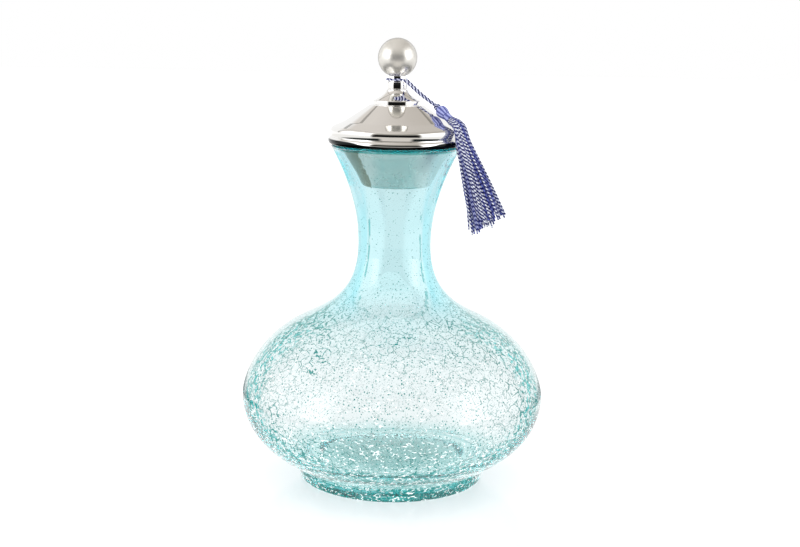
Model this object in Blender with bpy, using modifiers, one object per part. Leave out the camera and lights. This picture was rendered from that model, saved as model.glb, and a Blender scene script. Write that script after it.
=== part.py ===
"""Crackle glass carafe with a spun metal stopper and a tassel.

Metres, +Z up. The origin is the middle of the foot's resting face, and +Z is the
axis of every turned piece. The stopper stands on the rim of the mouth, and the
tassel hangs from the neck under the ball, on the side where x is positive and y
is negative.
"""
import math
from dataclasses import dataclass

import bmesh
import bpy
from mathutils import Matrix, Vector, noise
from mathutils.geometry import interpolate_bezier

MM = 0.001

# Clearance between pieces that touch
GAP = 0.3 * MM

# Bottle, outer side
FOOT_RADIUS = 61.9 * MM
FOOT_HEIGHT = 9.0 * MM
FOOT_TAPER = 1.6 * MM
FOOT_EDGE_FILLET = 2.4 * MM
FOOT_SHOULDER_FILLET = 1.2 * MM
CREASE_DEPTH = 0.5 * MM
CREASE_ANGLE = 27
RESTING_RING_WIDTH = 7.0 * MM
KICK_UP = 4.0 * MM
HOLLOW_ANGLE = -25
BELLY_RADIUS = 98.4 * MM
BELLY_HEIGHT = 56.2 * MM
SHOULDER_RADIUS = 63.7 * MM
SHOULDER_HEIGHT = 104.0 * MM
SHOULDER_ANGLE = 151.3
NECK_RADIUS = 23.5 * MM
NECK_HEIGHT = 155.5 * MM
MOUTH_RADIUS = 42.2 * MM
MOUTH_ANGLE = 62.7
RIM_HEIGHT = 219.7 * MM
LIP_FILLET = 0.9 * MM

# Bottle, how far its outline keeps to the heading at each of these places, before
# and after it, as shares of the next rise
FOOT_KEEP = 0.40
BELLY_KEEP = (0.52, 0.17)
SHOULDER_KEEP = (0.68, 0.37)
NECK_KEEP = (0.69, 0.45)
MOUTH_KEEP = 0.22
FLOOR_KEEP = 0.60
HOLLOW_KEEP = (4.0, 2.5)

# Bottle, thickness of the glass
BASE_THICKNESS = 9.5 * MM
FLOOR_RADIUS = 46.0 * MM
FLOOR_ANGLE = 4
BELLY_WALL = 3.6 * MM
SHOULDER_WALL = 4.6 * MM
NECK_WALL = 6.8 * MM
LIP_WALL = 3.7 * MM

# Stopper, heights above the plane in which its hem lies on the rim
SHEET = 0.8 * MM
BEAD_RADIUS = 2.6 * MM
BRIM_OVERHANG = 1.5 * MM
COVER_INSET = 1.5 * MM
NOTCH_DEPTH = 0.6 * MM
COVER_SHOULDER_HEIGHT = 10.7 * MM
COVER_SHOULDER_FILLET = 3.0 * MM
COVER_BREAK_RADIUS = 33.4 * MM
COVER_BREAK_HEIGHT = 14.6 * MM
COVER_BREAK_FILLET = 12.0 * MM
COVER_TOP_RADIUS = 17.4 * MM
COVER_TOP_FILLET = 1.0 * MM
COVER_HEIGHT = 25.2 * MM
PLUG_DEPTH = 25.8 * MM
PLUG_BREAK_DEPTH = 11.5 * MM
PLUG_BREAK_FILLET = 60.0 * MM
PLUG_CORNER_FILLET = 2.8 * MM

# Stopper, how far the plug stays off the glass: at its top, break and bottom
PLUG_TOP_CLEARANCE = 0.4 * MM
PLUG_BREAK_CLEARANCE = 2.1 * MM
PLUG_BOTTOM_CLEARANCE = 2.8 * MM

# Finial
STEM_BASE_RADIUS = 15.4 * MM
STEM_BAND_HEIGHT = 2.8 * MM
STEM_BAND_FILLET = 0.8 * MM
STEM_HEIGHT = 9.5 * MM
STEM_TOP_RADIUS = 6.8 * MM
FLARE_BASE_ANGLE = 150
FLARE_TOP_ANGLE = 105
FLARE_KEEP = (0.5, 0.45)
COLLAR_STEP = 0.9 * MM
COLLAR_HEIGHT = 4.5 * MM
COLLAR_FILLET = 0.5 * MM
LOOP_NECK_RADIUS = 5.6 * MM
LOOP_NECK_FILLET = 0.4 * MM
BALL_RADIUS = 12.5 * MM
BALL_CENTRE_HEIGHT = 19.7 * MM
STUD_RADIUS = 2.0 * MM
STUD_CHAMFER = 0.4 * MM
STUD_END_PLAY = 1.5 * MM
STUD_TAIL = 2.0 * MM
STUD_DEPTH_IN_KNOB = 13.0 * MM
WASHER_RADIUS = 6.0 * MM
WASHER_THICKNESS = 1.0 * MM
NUT_ACROSS_FLATS = 7.0 * MM
NUT_HEIGHT = 3.2 * MM

# Tassel: its pieces, head first
CORD_DIAMETER = 1.3 * MM
CORD_ENDS_APART = 1.7 * MM
CORD_SAG = 0.6 * MM
CORD_LIFT = 0.6 * MM
KNOT_RADIUS = 2.2 * MM
KNOT_LENGTH = 2.8 * MM
HEAD_RADIUS = 3.9 * MM
HEAD_LENGTH = 8.6 * MM
HEAD_CROWN = 3.6 * MM
HEAD_WAIST_ANGLE = 75
HEAD_WAIST_KEEP = 0.20
HEAD_SIDE_KEEP = (0.35, 0.55)
HEAD_TOP_KEEP = 0.60
BINDING_RADIUS = 2.8 * MM
BINDING_LENGTH = 4.4 * MM
BINDING_RIBS = 4
BINDING_RIB_HEIGHT = 0.25 * MM
SKIRT_BACKING = 0.8 * MM
SKIRT_RADIUS_ON_SHOULDER = 3.9 * MM
SKIRT_RADIUS_AT_BRIM = 5.4 * MM
SKIRT_RADIUS_AT_TIPS = 13.0 * MM
STRAND_LENGTH = 72.0 * MM
STRAND_UNEVENNESS = 2.4 * MM
STRAND_UNEVENNESS_PITCH = 5.3
STRAND_WIDTH = 1.1 * MM
STRAND_ROWS = 10
STRAND_SHARE_OF_CELL = 0.8

# Tassel: how it lies on the cover and hangs over the brim, in degrees round +Z
# and away from straight down
HEAD_AZIMUTH = -17
HEAD_DOWN_CONE = 12.2 * MM
HEAD_SLANT = 29
SHOULDER_AZIMUTH = -30
SHOULDER_ANGLE_OF_SKIRT = 45
BRIM_AZIMUTH = -31
SKIRT_LEAN = 20
SKIRT_LEAN_AZIMUTH = -20

# Fineness
BOTTLE_STEPS = 40
SPUN_STEPS = 32
FINIAL_STEPS = 28
TASSEL_STEPS = 16
POINTS_PER_WALL = 7
POINTS_PER_FLARE = 7
POINTS_PER_BULB = 6
POINTS_PER_HOLLOW = 5
POINTS_PER_SPAN = 12
CORD_RING_POINTS = 11
CORD_SIDE_STEPS = 2
ARC_STEP = math.radians(15)
FILLET_STEP = math.radians(30)
WELD = 0.00001

# Sizes that follow; those on the stopper are from the plane of its hem
SEAT_HEIGHT = RIM_HEIGHT + GAP
BRIM_RADIUS = MOUTH_RADIUS + BRIM_OVERHANG
BEAD_CENTRE = Vector((BRIM_RADIUS - BEAD_RADIUS, BEAD_RADIUS))
COVER_WALL_RADIUS = BRIM_RADIUS - COVER_INSET
PLUG_TOP_RADIUS = MOUTH_RADIUS - LIP_WALL - PLUG_TOP_CLEARANCE
STEM_BASE_HEIGHT = COVER_HEIGHT + GAP
KNOB_BASE_HEIGHT = STEM_BASE_HEIGHT + STEM_HEIGHT + GAP
WASHER_BASE_HEIGHT = COVER_HEIGHT - SHEET - GAP - WASHER_THICKNESS
NUT_BASE_HEIGHT = WASHER_BASE_HEIGHT - GAP - NUT_HEIGHT
STUD_BASE_HEIGHT = NUT_BASE_HEIGHT - STUD_TAIL
STUD_TOP_HEIGHT = KNOB_BASE_HEIGHT + STUD_DEPTH_IN_KNOB
BORE_RADIUS = STUD_RADIUS + GAP
COLLAR_RADIUS = LOOP_NECK_RADIUS + COLLAR_STEP


@dataclass
class Station:
    """A point of a blown outline, its heading, and how far the curve keeps to
    that heading before and after it, as shares of the next rise."""

    point: Vector
    heading: float
    keep_before: float = 0.0
    keep_after: float = 0.0


def heading_vector(degrees):
    return Vector((math.cos(math.radians(degrees)), math.sin(math.radians(degrees))))


def through(stations, count=POINTS_PER_WALL):
    """Points of the smooth outline through these stations, upward."""
    points = [stations[0].point]
    for low, high in zip(stations, stations[1:]):
        rise = abs(high.point.y - low.point.y)
        leave = low.point + heading_vector(low.heading) * low.keep_after * rise
        arrive = high.point - heading_vector(high.heading) * high.keep_before * rise
        points += interpolate_bezier(low.point, leave, arrive, high.point, count)[1:]
    return points


def inward(station, wall):
    """The same station on the inner side of a wall of this thickness."""
    across = heading_vector(station.heading + 90)
    return Station(
        station.point + across * wall,
        station.heading,
        station.keep_before,
        station.keep_after,
    )


def arc(centre, radius, start, end, step=ARC_STEP):
    """Points of an arc from one angle to another, in radians."""
    count = max(2, math.ceil(abs(end - start) / step))
    angles = [start + (end - start) * i / count for i in range(count + 1)]
    return [centre + Vector((math.cos(a), math.sin(a))) * radius for a in angles]


def rounded(corners):
    """The outline through these (point, fillet) corners, with each corner turned
    into an arc that meets both its sides."""
    points = [corners[0][0]]
    for before, (corner, fillet), after in zip(corners, corners[1:], corners[2:]):
        back = (before[0] - corner).normalized()
        ahead = (after[0] - corner).normalized()
        if fillet == 0:
            points.append(corner)
            continue
        half = back.angle(ahead) / 2
        centre = corner + (back + ahead).normalized() * fillet / math.sin(half)
        first = corner + back * fillet / math.tan(half) - centre
        last = corner + ahead * fillet / math.tan(half) - centre
        start = math.atan2(first.y, first.x)
        turn = first.angle_signed(last)
        points += arc(centre, fillet, start, start - turn, FILLET_STEP)
    return points + [corners[-1][0]]


def material(name, colour, roughness, metallic=0.0, transmission=0.0):
    made = bpy.data.materials.new(name)
    made.use_nodes = True
    shader = made.node_tree.nodes["Principled BSDF"]
    shader.inputs["Base Color"].default_value = (*colour, 1.0)
    shader.inputs["Roughness"].default_value = roughness
    shader.inputs["Metallic"].default_value = metallic
    shader.inputs["Transmission Weight"].default_value = transmission
    made.diffuse_color = (*colour, 1.0)
    return made


def collection(name):
    made = bpy.data.collections.new(name)
    bpy.context.scene.collection.children.link(made)
    return made


def empty(name, height, group):
    made = bpy.data.objects.new(name, None)
    made.empty_display_size = 20 * MM
    made.location.z = height
    group.objects.link(made)
    return made


def add(name, mesh, group, finish, parent=None, height=0.0):
    made = bpy.data.objects.new(name, mesh)
    made.data.materials.append(finish)
    made.location.z = height
    made.parent = parent
    group.objects.link(made)
    return made


def turned_mesh(name, outline, closed=False):
    """The outline, with x as radius and y as height, as edges in the XZ plane."""
    count = len(outline)
    edges = [(i, i + 1) for i in range(count - 1)]
    if closed:
        edges.append((count - 1, 0))
    mesh = bpy.data.meshes.new(name)
    mesh.from_pydata([(p.x, 0.0, p.y) for p in outline], edges, [])
    return mesh


def turn(obj, steps):
    screw = obj.modifiers.new("Turn", "SCREW")
    screw.axis = "Z"
    screw.angle = math.tau
    screw.steps = steps
    screw.render_steps = steps
    screw.use_smooth_shade = True
    screw.use_merge_vertices = True
    screw.merge_threshold = WELD


def thicken(obj, sheet):
    shell = obj.modifiers.new("Sheet", "SOLIDIFY")
    shell.thickness = sheet
    shell.offset = -1
    shell.use_even_offset = True


def outer_stations():
    foot_top = Vector((FOOT_RADIUS - CREASE_DEPTH, FOOT_HEIGHT))
    return [
        Station(foot_top, CREASE_ANGLE, keep_after=FOOT_KEEP),
        Station(Vector((BELLY_RADIUS, BELLY_HEIGHT)), 90, *BELLY_KEEP),
        Station(Vector((SHOULDER_RADIUS, SHOULDER_HEIGHT)), SHOULDER_ANGLE, *SHOULDER_KEEP),
        Station(Vector((NECK_RADIUS, NECK_HEIGHT)), 90, *NECK_KEEP),
        Station(Vector((MOUTH_RADIUS, RIM_HEIGHT)), MOUTH_ANGLE, keep_before=MOUTH_KEEP),
    ]


def inner_stations():
    _, belly, shoulder, neck, mouth = outer_stations()
    floor = Vector((FLOOR_RADIUS, KICK_UP + BASE_THICKNESS))
    return [
        Station(floor, FLOOR_ANGLE, keep_after=FLOOR_KEEP),
        inward(belly, BELLY_WALL),
        inward(shoulder, SHOULDER_WALL),
        inward(neck, NECK_WALL),
        Station(mouth.point - Vector((LIP_WALL, 0)), mouth.heading, mouth.keep_before),
    ]


def mouth_radius(depth):
    """Radius of the glass's inner side this far under the stopper's hem."""
    height = SEAT_HEIGHT - depth
    wall = through(inner_stations())
    for low, high in zip(wall[:-1], wall[1:]):
        if low.y <= height <= high.y:
            return low.lerp(high, (height - low.y) / (high.y - low.y)).x
    return wall[-1].x


def foot_outline():
    """From the crease above the foot, down its side and in to the hollow."""
    bottom = FOOT_RADIUS - FOOT_TAPER
    ring_inner = bottom - FOOT_EDGE_FILLET - RESTING_RING_WIDTH
    side = rounded([
        (Vector((FOOT_RADIUS - CREASE_DEPTH, FOOT_HEIGHT)), 0),
        (Vector((FOOT_RADIUS, FOOT_HEIGHT - CREASE_DEPTH)), FOOT_SHOULDER_FILLET),
        (Vector((bottom, 0)), FOOT_EDGE_FILLET),
        (Vector((ring_inner, 0)), 0),
    ])
    hollow = through([
        Station(Vector((0, KICK_UP)), 0, keep_after=HOLLOW_KEEP[0]),
        Station(Vector((ring_inner, 0)), HOLLOW_ANGLE, keep_before=HOLLOW_KEEP[1]),
    ], POINTS_PER_HOLLOW)
    return side[1:] + hollow[::-1][1:]


def build_bottle(group, glass):
    """One blown piece: the wall inside from the floor to the lip, the lip, and the
    outside down to the foot and the hollow under it."""
    inside = [Vector((0, KICK_UP + BASE_THICKNESS))] + through(inner_stations())
    outside = through(outer_stations())[::-1]
    lip = rounded([
        (inside[-2], 0),
        (inside[-1], LIP_FILLET),
        (outside[0], LIP_FILLET),
        (outside[1], 0),
    ])
    outline = inside[:-1] + lip[1:-1] + outside[1:] + foot_outline()
    bottle = add("glass_bottle", turned_mesh("glass_bottle", outline), group, glass)
    turn(bottle, BOTTLE_STEPS)
    return bottle


def build_cover(group, metal, lid):
    """The spun cover: flat top, cone, rounded shoulder, notch, the bead rolled
    round to the rim, and the hem turned in under it."""
    notch = COVER_WALL_RADIUS - NOTCH_DEPTH - BEAD_CENTRE.x
    bead = arc(BEAD_CENTRE, BEAD_RADIUS, math.acos(notch / BEAD_RADIUS), -math.pi / 2)
    hem = PLUG_TOP_RADIUS + 2 * GAP
    cover = rounded([
        (Vector((BORE_RADIUS, COVER_HEIGHT)), 0),
        (Vector((COVER_TOP_RADIUS, COVER_HEIGHT)), COVER_TOP_FILLET),
        (Vector((COVER_BREAK_RADIUS, COVER_BREAK_HEIGHT)), COVER_BREAK_FILLET),
        (Vector((COVER_WALL_RADIUS, COVER_SHOULDER_HEIGHT)), COVER_SHOULDER_FILLET),
        (Vector((COVER_WALL_RADIUS, bead[0].y + NOTCH_DEPTH)), 0),
        (bead[0], 0),
    ])
    outline = cover + bead[1:] + [Vector((hem, 0))]
    made = add("lid_dome", turned_mesh("lid_dome", outline), group, metal, lid)
    turn(made, SPUN_STEPS)
    thicken(made, SHEET)
    return made


def build_plug(group, metal, lid):
    """The spun cup that hangs in the mouth, held by its flange on the hem. It
    narrows with the glass around it."""
    flange = SHEET + GAP
    break_radius = mouth_radius(PLUG_BREAK_DEPTH) - PLUG_BREAK_CLEARANCE
    bottom_radius = mouth_radius(PLUG_DEPTH) - PLUG_BOTTOM_CLEARANCE
    outline = rounded([
        (Vector((BEAD_CENTRE.x, flange)), 0),
        (Vector((PLUG_TOP_RADIUS, flange)), SHEET),
        (Vector((break_radius, -PLUG_BREAK_DEPTH)), PLUG_BREAK_FILLET),
        (Vector((bottom_radius, -PLUG_DEPTH)), PLUG_CORNER_FILLET),
        (Vector((0, -PLUG_DEPTH)), 0),
    ])
    made = add("lid_plug", turned_mesh("lid_plug", outline), group, metal, lid)
    turn(made, SPUN_STEPS)
    thicken(made, SHEET)
    return made


def build_stem(group, metal, lid):
    """The turned pedestal of the finial: a stepped band, then a trumpet flare."""
    flare_base = Vector((STEM_BASE_RADIUS - STEM_BAND_FILLET, STEM_BAND_HEIGHT))
    flare_top = Vector((STEM_TOP_RADIUS, STEM_HEIGHT))
    flare = through([
        Station(flare_base, FLARE_BASE_ANGLE, keep_after=FLARE_KEEP[0]),
        Station(flare_top, FLARE_TOP_ANGLE, keep_before=FLARE_KEEP[1]),
    ], POINTS_PER_FLARE)
    band = rounded([
        (flare[0], 0),
        (Vector((STEM_BASE_RADIUS, STEM_BAND_HEIGHT)), STEM_BAND_FILLET / 2),
        (Vector((STEM_BASE_RADIUS, 0)), STEM_BAND_FILLET / 2),
        (Vector((BORE_RADIUS, 0)), 0),
    ])
    outline = [Vector((BORE_RADIUS, STEM_HEIGHT))] + flare[::-1] + band[1:]
    mesh = turned_mesh("finial_stem", outline, closed=True)
    made = add("finial_stem", mesh, group, metal, lid, STEM_BASE_HEIGHT)
    turn(made, FINIAL_STEPS)
    return made


def build_ball(group, metal, lid):
    """The ball with its grooved neck and collar, bored from below for the stud."""
    centre = Vector((0, BALL_CENTRE_HEIGHT))
    meets_neck = math.asin(LOOP_NECK_RADIUS / BALL_RADIUS) - math.pi / 2
    ball = arc(centre, BALL_RADIUS, math.pi / 2, meets_neck)
    neck = rounded([
        (ball[-1], 0),
        (Vector((LOOP_NECK_RADIUS, COLLAR_HEIGHT)), LOOP_NECK_FILLET),
        (Vector((COLLAR_RADIUS, COLLAR_HEIGHT)), COLLAR_FILLET / 2),
        (Vector((COLLAR_RADIUS, 0)), COLLAR_FILLET),
        (Vector((BORE_RADIUS, 0)), 0),
        (Vector((BORE_RADIUS, STUD_DEPTH_IN_KNOB + STUD_END_PLAY)), 0),
        (Vector((0, STUD_DEPTH_IN_KNOB + STUD_END_PLAY)), 0),
    ])
    mesh = turned_mesh("finial_ball", ball + neck[1:])
    made = add("finial_ball", mesh, group, metal, lid, KNOB_BASE_HEIGHT)
    turn(made, FINIAL_STEPS)
    return made


def build_stud(group, metal, lid):
    """The rod that draws ball, pedestal and cover together."""
    length = STUD_TOP_HEIGHT - STUD_BASE_HEIGHT
    outline = [
        Vector((0, length)),
        Vector((STUD_RADIUS - STUD_CHAMFER, length)),
        Vector((STUD_RADIUS, length - STUD_CHAMFER)),
        Vector((STUD_RADIUS, STUD_CHAMFER)),
        Vector((STUD_RADIUS - STUD_CHAMFER, 0)),
        Vector((0, 0)),
    ]
    mesh = turned_mesh("finial_stud", outline)
    made = add("finial_stud", mesh, group, metal, lid, STUD_BASE_HEIGHT)
    turn(made, TASSEL_STEPS)
    return made


def build_washer(group, metal, lid):
    outline = [
        Vector((BORE_RADIUS, WASHER_THICKNESS)),
        Vector((WASHER_RADIUS, WASHER_THICKNESS)),
        Vector((WASHER_RADIUS, 0)),
        Vector((BORE_RADIUS, 0)),
    ]
    mesh = turned_mesh("finial_washer", outline, closed=True)
    made = add("finial_washer", mesh, group, metal, lid, WASHER_BASE_HEIGHT)
    turn(made, TASSEL_STEPS)
    return made


def cylinder_mesh(name, sides, radius, height):
    """A prism or cylinder that stands on its own origin."""
    mesh = bpy.data.meshes.new(name)
    shape = bmesh.new()
    bmesh.ops.create_cone(
        shape,
        cap_ends=True,
        segments=sides,
        radius1=radius,
        radius2=radius,
        depth=height,
        matrix=Matrix.Translation((0, 0, height / 2)),
    )
    shape.to_mesh(mesh)
    shape.free()
    return mesh


def build_nut(group, cutters, metal, lid):
    """A hexagon nut, bored by a cutter that runs past both its faces."""
    hexagon = cylinder_mesh("finial_nut", 6, NUT_ACROSS_FLATS / math.sqrt(3), NUT_HEIGHT)
    made = add("finial_nut", hexagon, group, metal, lid, NUT_BASE_HEIGHT)
    rod = cylinder_mesh("nut_drill", TASSEL_STEPS, BORE_RADIUS, 3 * NUT_HEIGHT)
    drill = add("nut_drill", rod, cutters, metal, lid, NUT_BASE_HEIGHT - NUT_HEIGHT)
    drill.hide_render = True
    drill.display_type = "WIRE"
    bore = made.modifiers.new("Bore", "BOOLEAN")
    bore.operation = "DIFFERENCE"
    bore.solver = "EXACT"
    bore.object = drill
    return made


def smooth_route(points, spacing):
    """Points at an even spacing along a smooth curve through these points."""
    ends = [points[0] * 2 - points[1], *points, points[-1] * 2 - points[-2]]
    fine = [points[0]]
    for a, b, c, d in zip(ends, ends[1:], ends[2:], ends[3:]):
        fine += interpolate_bezier(b, b + (c - a) / 6, c - (d - b) / 6, c, POINTS_PER_SPAN)[1:]
    lengths = [(q - p).length for p, q in zip(fine, fine[1:])]
    count = max(2, round(sum(lengths) / spacing))
    return [along(fine, lengths, sum(lengths) * i / count) for i in range(count + 1)]


def along(points, lengths, distance):
    """The point at this distance along a polyline."""
    for start, end, length in zip(points, points[1:], lengths):
        if distance <= length:
            return start.lerp(end, distance / length)
        distance -= length
    return points[-1]


def polar(radius, azimuth, height):
    angle = math.radians(azimuth)
    return Vector((math.cos(angle) * radius, math.sin(angle) * radius, height))


def cone_down():
    """Down the cover's cone, as (outward, up)."""
    across = COVER_BREAK_RADIUS - COVER_TOP_RADIUS
    return Vector((across, COVER_BREAK_HEIGHT - COVER_HEIGHT)).normalized()


def head_direction():
    """Down the cone, turned aside by the slant."""
    down = cone_down()
    slant = math.radians(HEAD_SLANT)
    straight = polar(down.x, HEAD_AZIMUTH, down.y)
    return straight * math.cos(slant) + polar(1, HEAD_AZIMUTH - 90, 0) * math.sin(slant)


def head_start():
    """Where the knot starts, so that the bulb's widest part lies on the cone."""
    down = cone_down()
    outward = Vector((-down.y, down.x))
    edge = Vector((COVER_TOP_RADIUS, COVER_HEIGHT))
    widest = edge + down * HEAD_DOWN_CONE + outward * (HEAD_RADIUS + GAP)
    place = polar(widest.x, HEAD_AZIMUTH, SEAT_HEIGHT + widest.y)
    return place - head_direction() * (KNOT_LENGTH + GAP + HEAD_CROWN)


def loop_route():
    """The cord's own points: up from the knot, over the collar's edge, round the
    far side of the neck, and back over the edge to the knot."""
    half = CORD_DIAMETER / 2
    height = SEAT_HEIGHT + KNOB_BASE_HEIGHT + COLLAR_HEIGHT + GAP + half + CORD_LIFT
    radius = LOOP_NECK_RADIUS + GAP + half
    past_edge = math.sqrt((COLLAR_RADIUS + GAP + half) ** 2 - radius**2)
    knot = head_start() - head_direction() * GAP
    aside = head_direction().cross(Vector((0, 0, 1))).normalized() * CORD_ENDS_APART / 2
    toward_knot = math.degrees(math.atan2(knot.y, knot.x))
    opening = math.degrees(math.acos(radius / knot.xy.length))
    step = (360 - 2 * opening) / (CORD_RING_POINTS - 1)
    ring = [
        polar(radius, toward_knot - opening - step * i, height) for i in range(CORD_RING_POINTS)
    ]
    strands = []
    for end, touch in ((knot + aside, ring[0]), (knot - aside, ring[-1])):
        out = Vector((*(end - touch).xy.normalized(), 0))
        edge = touch + out * past_edge - Vector((0, 0, CORD_LIFT / 2))
        middle = end.lerp(edge, 0.5) - Vector((0, 0, CORD_SAG))
        strands.append([end, middle, edge])
    return [*strands[0], *ring, *strands[1][::-1]]


def tube(name, points, diameter, group, finish, parent):
    curve = bpy.data.curves.new(name, "CURVE")
    curve.dimensions = "3D"
    curve.bevel_depth = diameter / 2
    curve.bevel_resolution = CORD_SIDE_STEPS
    curve.use_fill_caps = True
    spline = curve.splines.new("POLY")
    spline.points.add(len(points) - 1)
    for spot, point in zip(spline.points, points):
        spot.co = (*(point - parent.location), 1.0)
    made = bpy.data.objects.new(name, curve)
    made.data.materials.append(finish)
    made.parent = parent
    group.objects.link(made)
    return made


def build_cord(group, thread, tassel):
    route = smooth_route(loop_route(), 2 * CORD_DIAMETER)
    return tube("tassel_cord", route, CORD_DIAMETER, group, thread, tassel)


def add_on_head(name, outline, start, group, thread, tassel):
    """A turned piece on the head's axis, from this distance past its start."""
    made = add(name, turned_mesh(name, outline), group, thread, tassel)
    made.location = head_start() + head_direction() * start - tassel.location
    made.rotation_mode = "QUATERNION"
    made.rotation_quaternion = (-head_direction()).to_track_quat("Z", "X")
    turn(made, TASSEL_STEPS)
    return made


def build_knot(group, thread, tassel):
    """The cord's knot, a small squashed ball."""
    half = KNOT_LENGTH / 2
    points = arc(Vector((0, 0)), 1.0, math.pi / 2, -math.pi / 2)
    outline = [Vector((p.x * KNOT_RADIUS, p.y * half - half)) for p in points]
    return add_on_head("tassel_knot", outline, 0, group, thread, tassel)


def build_head(group, thread, tassel):
    """The bulb: round where the cord enters, drawn in where it is bound."""
    bulb = through([
        Station(Vector((BINDING_RADIUS, -HEAD_LENGTH)), HEAD_WAIST_ANGLE, 0, HEAD_WAIST_KEEP),
        Station(Vector((HEAD_RADIUS, -HEAD_CROWN)), 90, *HEAD_SIDE_KEEP),
        Station(Vector((0, 0)), 180, keep_before=HEAD_TOP_KEEP),
    ], POINTS_PER_BULB)
    outline = bulb[::-1] + [Vector((0, -HEAD_LENGTH))]
    return add_on_head("tassel_head", outline, KNOT_LENGTH + GAP, group, thread, tassel)


def build_binding(group, thread, tassel):
    """The band of thread wound round under the bulb, with a rib for each turn."""
    rib = BINDING_LENGTH / BINDING_RIBS
    outline = [Vector((0, 0))]
    for i in range(BINDING_RIBS):
        outline.append(Vector((BINDING_RADIUS - BINDING_RIB_HEIGHT, -rib * i)))
        outline.append(Vector((BINDING_RADIUS, -rib * (i + 0.5))))
    outline.append(Vector((BINDING_RADIUS - BINDING_RIB_HEIGHT, -BINDING_LENGTH)))
    outline.append(Vector((0, -BINDING_LENGTH)))
    start = KNOT_LENGTH + HEAD_LENGTH + 2 * GAP
    return add_on_head("tassel_binding", outline, start, group, thread, tassel)


def skirt_start():
    return KNOT_LENGTH + HEAD_LENGTH + BINDING_LENGTH + 3 * GAP


def skirt_stops():
    """(middle, radius) of the skirt: under the binding, over the cover's shoulder,
    beside the bead, and down to where the longest strands could end."""
    start = head_start() + head_direction() * skirt_start()
    lift = heading_vector(SHOULDER_ANGLE_OF_SKIRT) * (SKIRT_RADIUS_ON_SHOULDER + GAP)
    shoulder = Vector((COVER_WALL_RADIUS, COVER_SHOULDER_HEIGHT)) + lift
    beside = BRIM_RADIUS + GAP + SKIRT_RADIUS_AT_BRIM
    over = polar(shoulder.x, SHOULDER_AZIMUTH, SEAT_HEIGHT + shoulder.y)
    brim = polar(beside, BRIM_AZIMUTH, SEAT_HEIGHT + BEAD_CENTRE.y)
    lean = math.radians(SKIRT_LEAN)
    fall = polar(math.sin(lean), SKIRT_LEAN_AZIMUTH, -math.cos(lean))
    length = STRAND_LENGTH - (over - start).length - (brim - over).length
    return [
        (start, BINDING_RADIUS),
        (start + head_direction() * SKIRT_BACKING, BINDING_RADIUS),
        (over, SKIRT_RADIUS_ON_SHOULDER),
        (brim, SKIRT_RADIUS_AT_BRIM),
        (brim + fall * length / 2, (SKIRT_RADIUS_AT_BRIM + SKIRT_RADIUS_AT_TIPS) / 2),
        (brim + fall * length, SKIRT_RADIUS_AT_TIPS),
    ]


def skirt_sections():
    """Middle, the two directions across, and radius at each stop."""
    stops = skirt_stops()
    places = [place for place, _ in stops]
    sections = []
    for i, (place, radius) in enumerate(stops):
        ahead = (places[min(i + 1, len(places) - 1)] - places[max(i - 1, 0)]).normalized()
        side = ahead.cross(Vector((0, 0, 1))).normalized()
        sections.append((place, side, ahead.cross(side), radius))
    return sections


def on_disc(x, y):
    """A point of a square from -1 to 1, laid on the round disc that it fills."""
    return x * math.sqrt(1 - y * y / 2), y * math.sqrt(1 - x * x / 2)


def in_skirt(spot, sections):
    """The place that is (x, y) across the skirt and z stops along it."""
    index = min(int(spot.z), len(sections) - 2)
    x, y = on_disc(spot.x, spot.y)
    low, high = (
        middle + (side * x + across * y) * radius
        for middle, side, across, radius in sections[index : index + 2]
    )
    return low + (high - low) * (spot.z - index)


def strand_end(cell, sections):
    """How many stops along the skirt this cell's strand ends, cut to its length."""
    last = len(sections) - 1
    path = [in_skirt(Vector((cell.x, cell.y, i)), sections) for i in range(1, last + 1)]
    lengths = [(end - start).length for start, end in zip(path, path[1:])]
    uneven = noise.noise(cell * STRAND_UNEVENNESS_PITCH)
    wanted = STRAND_LENGTH + uneven * STRAND_UNEVENNESS
    return last - 1 + (wanted - sum(lengths[:-1])) / lengths[-1]


def grow_strand(shape, face, sections):
    """Draws one strand out of a face of the backing, stop by stop. It stays inside
    its own cell of the skirt, so that no strand meets another."""
    cell = face.calc_center_median()
    corners = [vert.co - cell for vert in face.verts]
    stops = [*range(2, len(sections) - 1), strand_end(cell, sections)]
    for stop in stops:
        radius = sections[min(math.ceil(stop), len(sections) - 1)][3]
        widest = STRAND_WIDTH * STRAND_ROWS / (2 * radius)
        share = min(1, widest / STRAND_SHARE_OF_CELL)
        face = bmesh.ops.extrude_discrete_faces(shape, faces=[face])["faces"][0]
        for vert, corner in zip(face.verts, corners):
            vert.co = Vector((cell.x, cell.y, stop)) + Vector((corner.x, corner.y, 0)) * share


def build_skirt(group, thread, tassel):
    """A thin backing cut into a grid, with one strand drawn out of each cell. The
    mesh is made in (across, across, stops along) and laid in place at the end."""
    sections = skirt_sections()
    shape = bmesh.new()
    bmesh.ops.create_grid(
        shape,
        x_segments=STRAND_ROWS,
        y_segments=STRAND_ROWS,
        size=1.0,
        matrix=Matrix.Translation((0, 0, 1)),
    )
    cells = list(shape.faces)
    bmesh.ops.reverse_faces(shape, faces=cells)
    top = bmesh.ops.extrude_face_region(shape, geom=cells, use_keep_orig=True)["geom"]
    for item in top:
        if isinstance(item, bmesh.types.BMVert):
            item.co.z = 0
    bmesh.ops.recalc_face_normals(shape, faces=list(shape.faces))
    margin = (1 - STRAND_SHARE_OF_CELL) / STRAND_ROWS
    bmesh.ops.inset_individual(shape, faces=cells, thickness=margin)
    for cell in cells:
        grow_strand(shape, cell, sections)
    for vert in shape.verts:
        vert.co = in_skirt(vert.co, sections) - tassel.location
    mesh = bpy.data.meshes.new("tassel_skirt")
    shape.to_mesh(mesh)
    shape.free()
    return add("tassel_skirt", mesh, group, thread, tassel)


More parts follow.
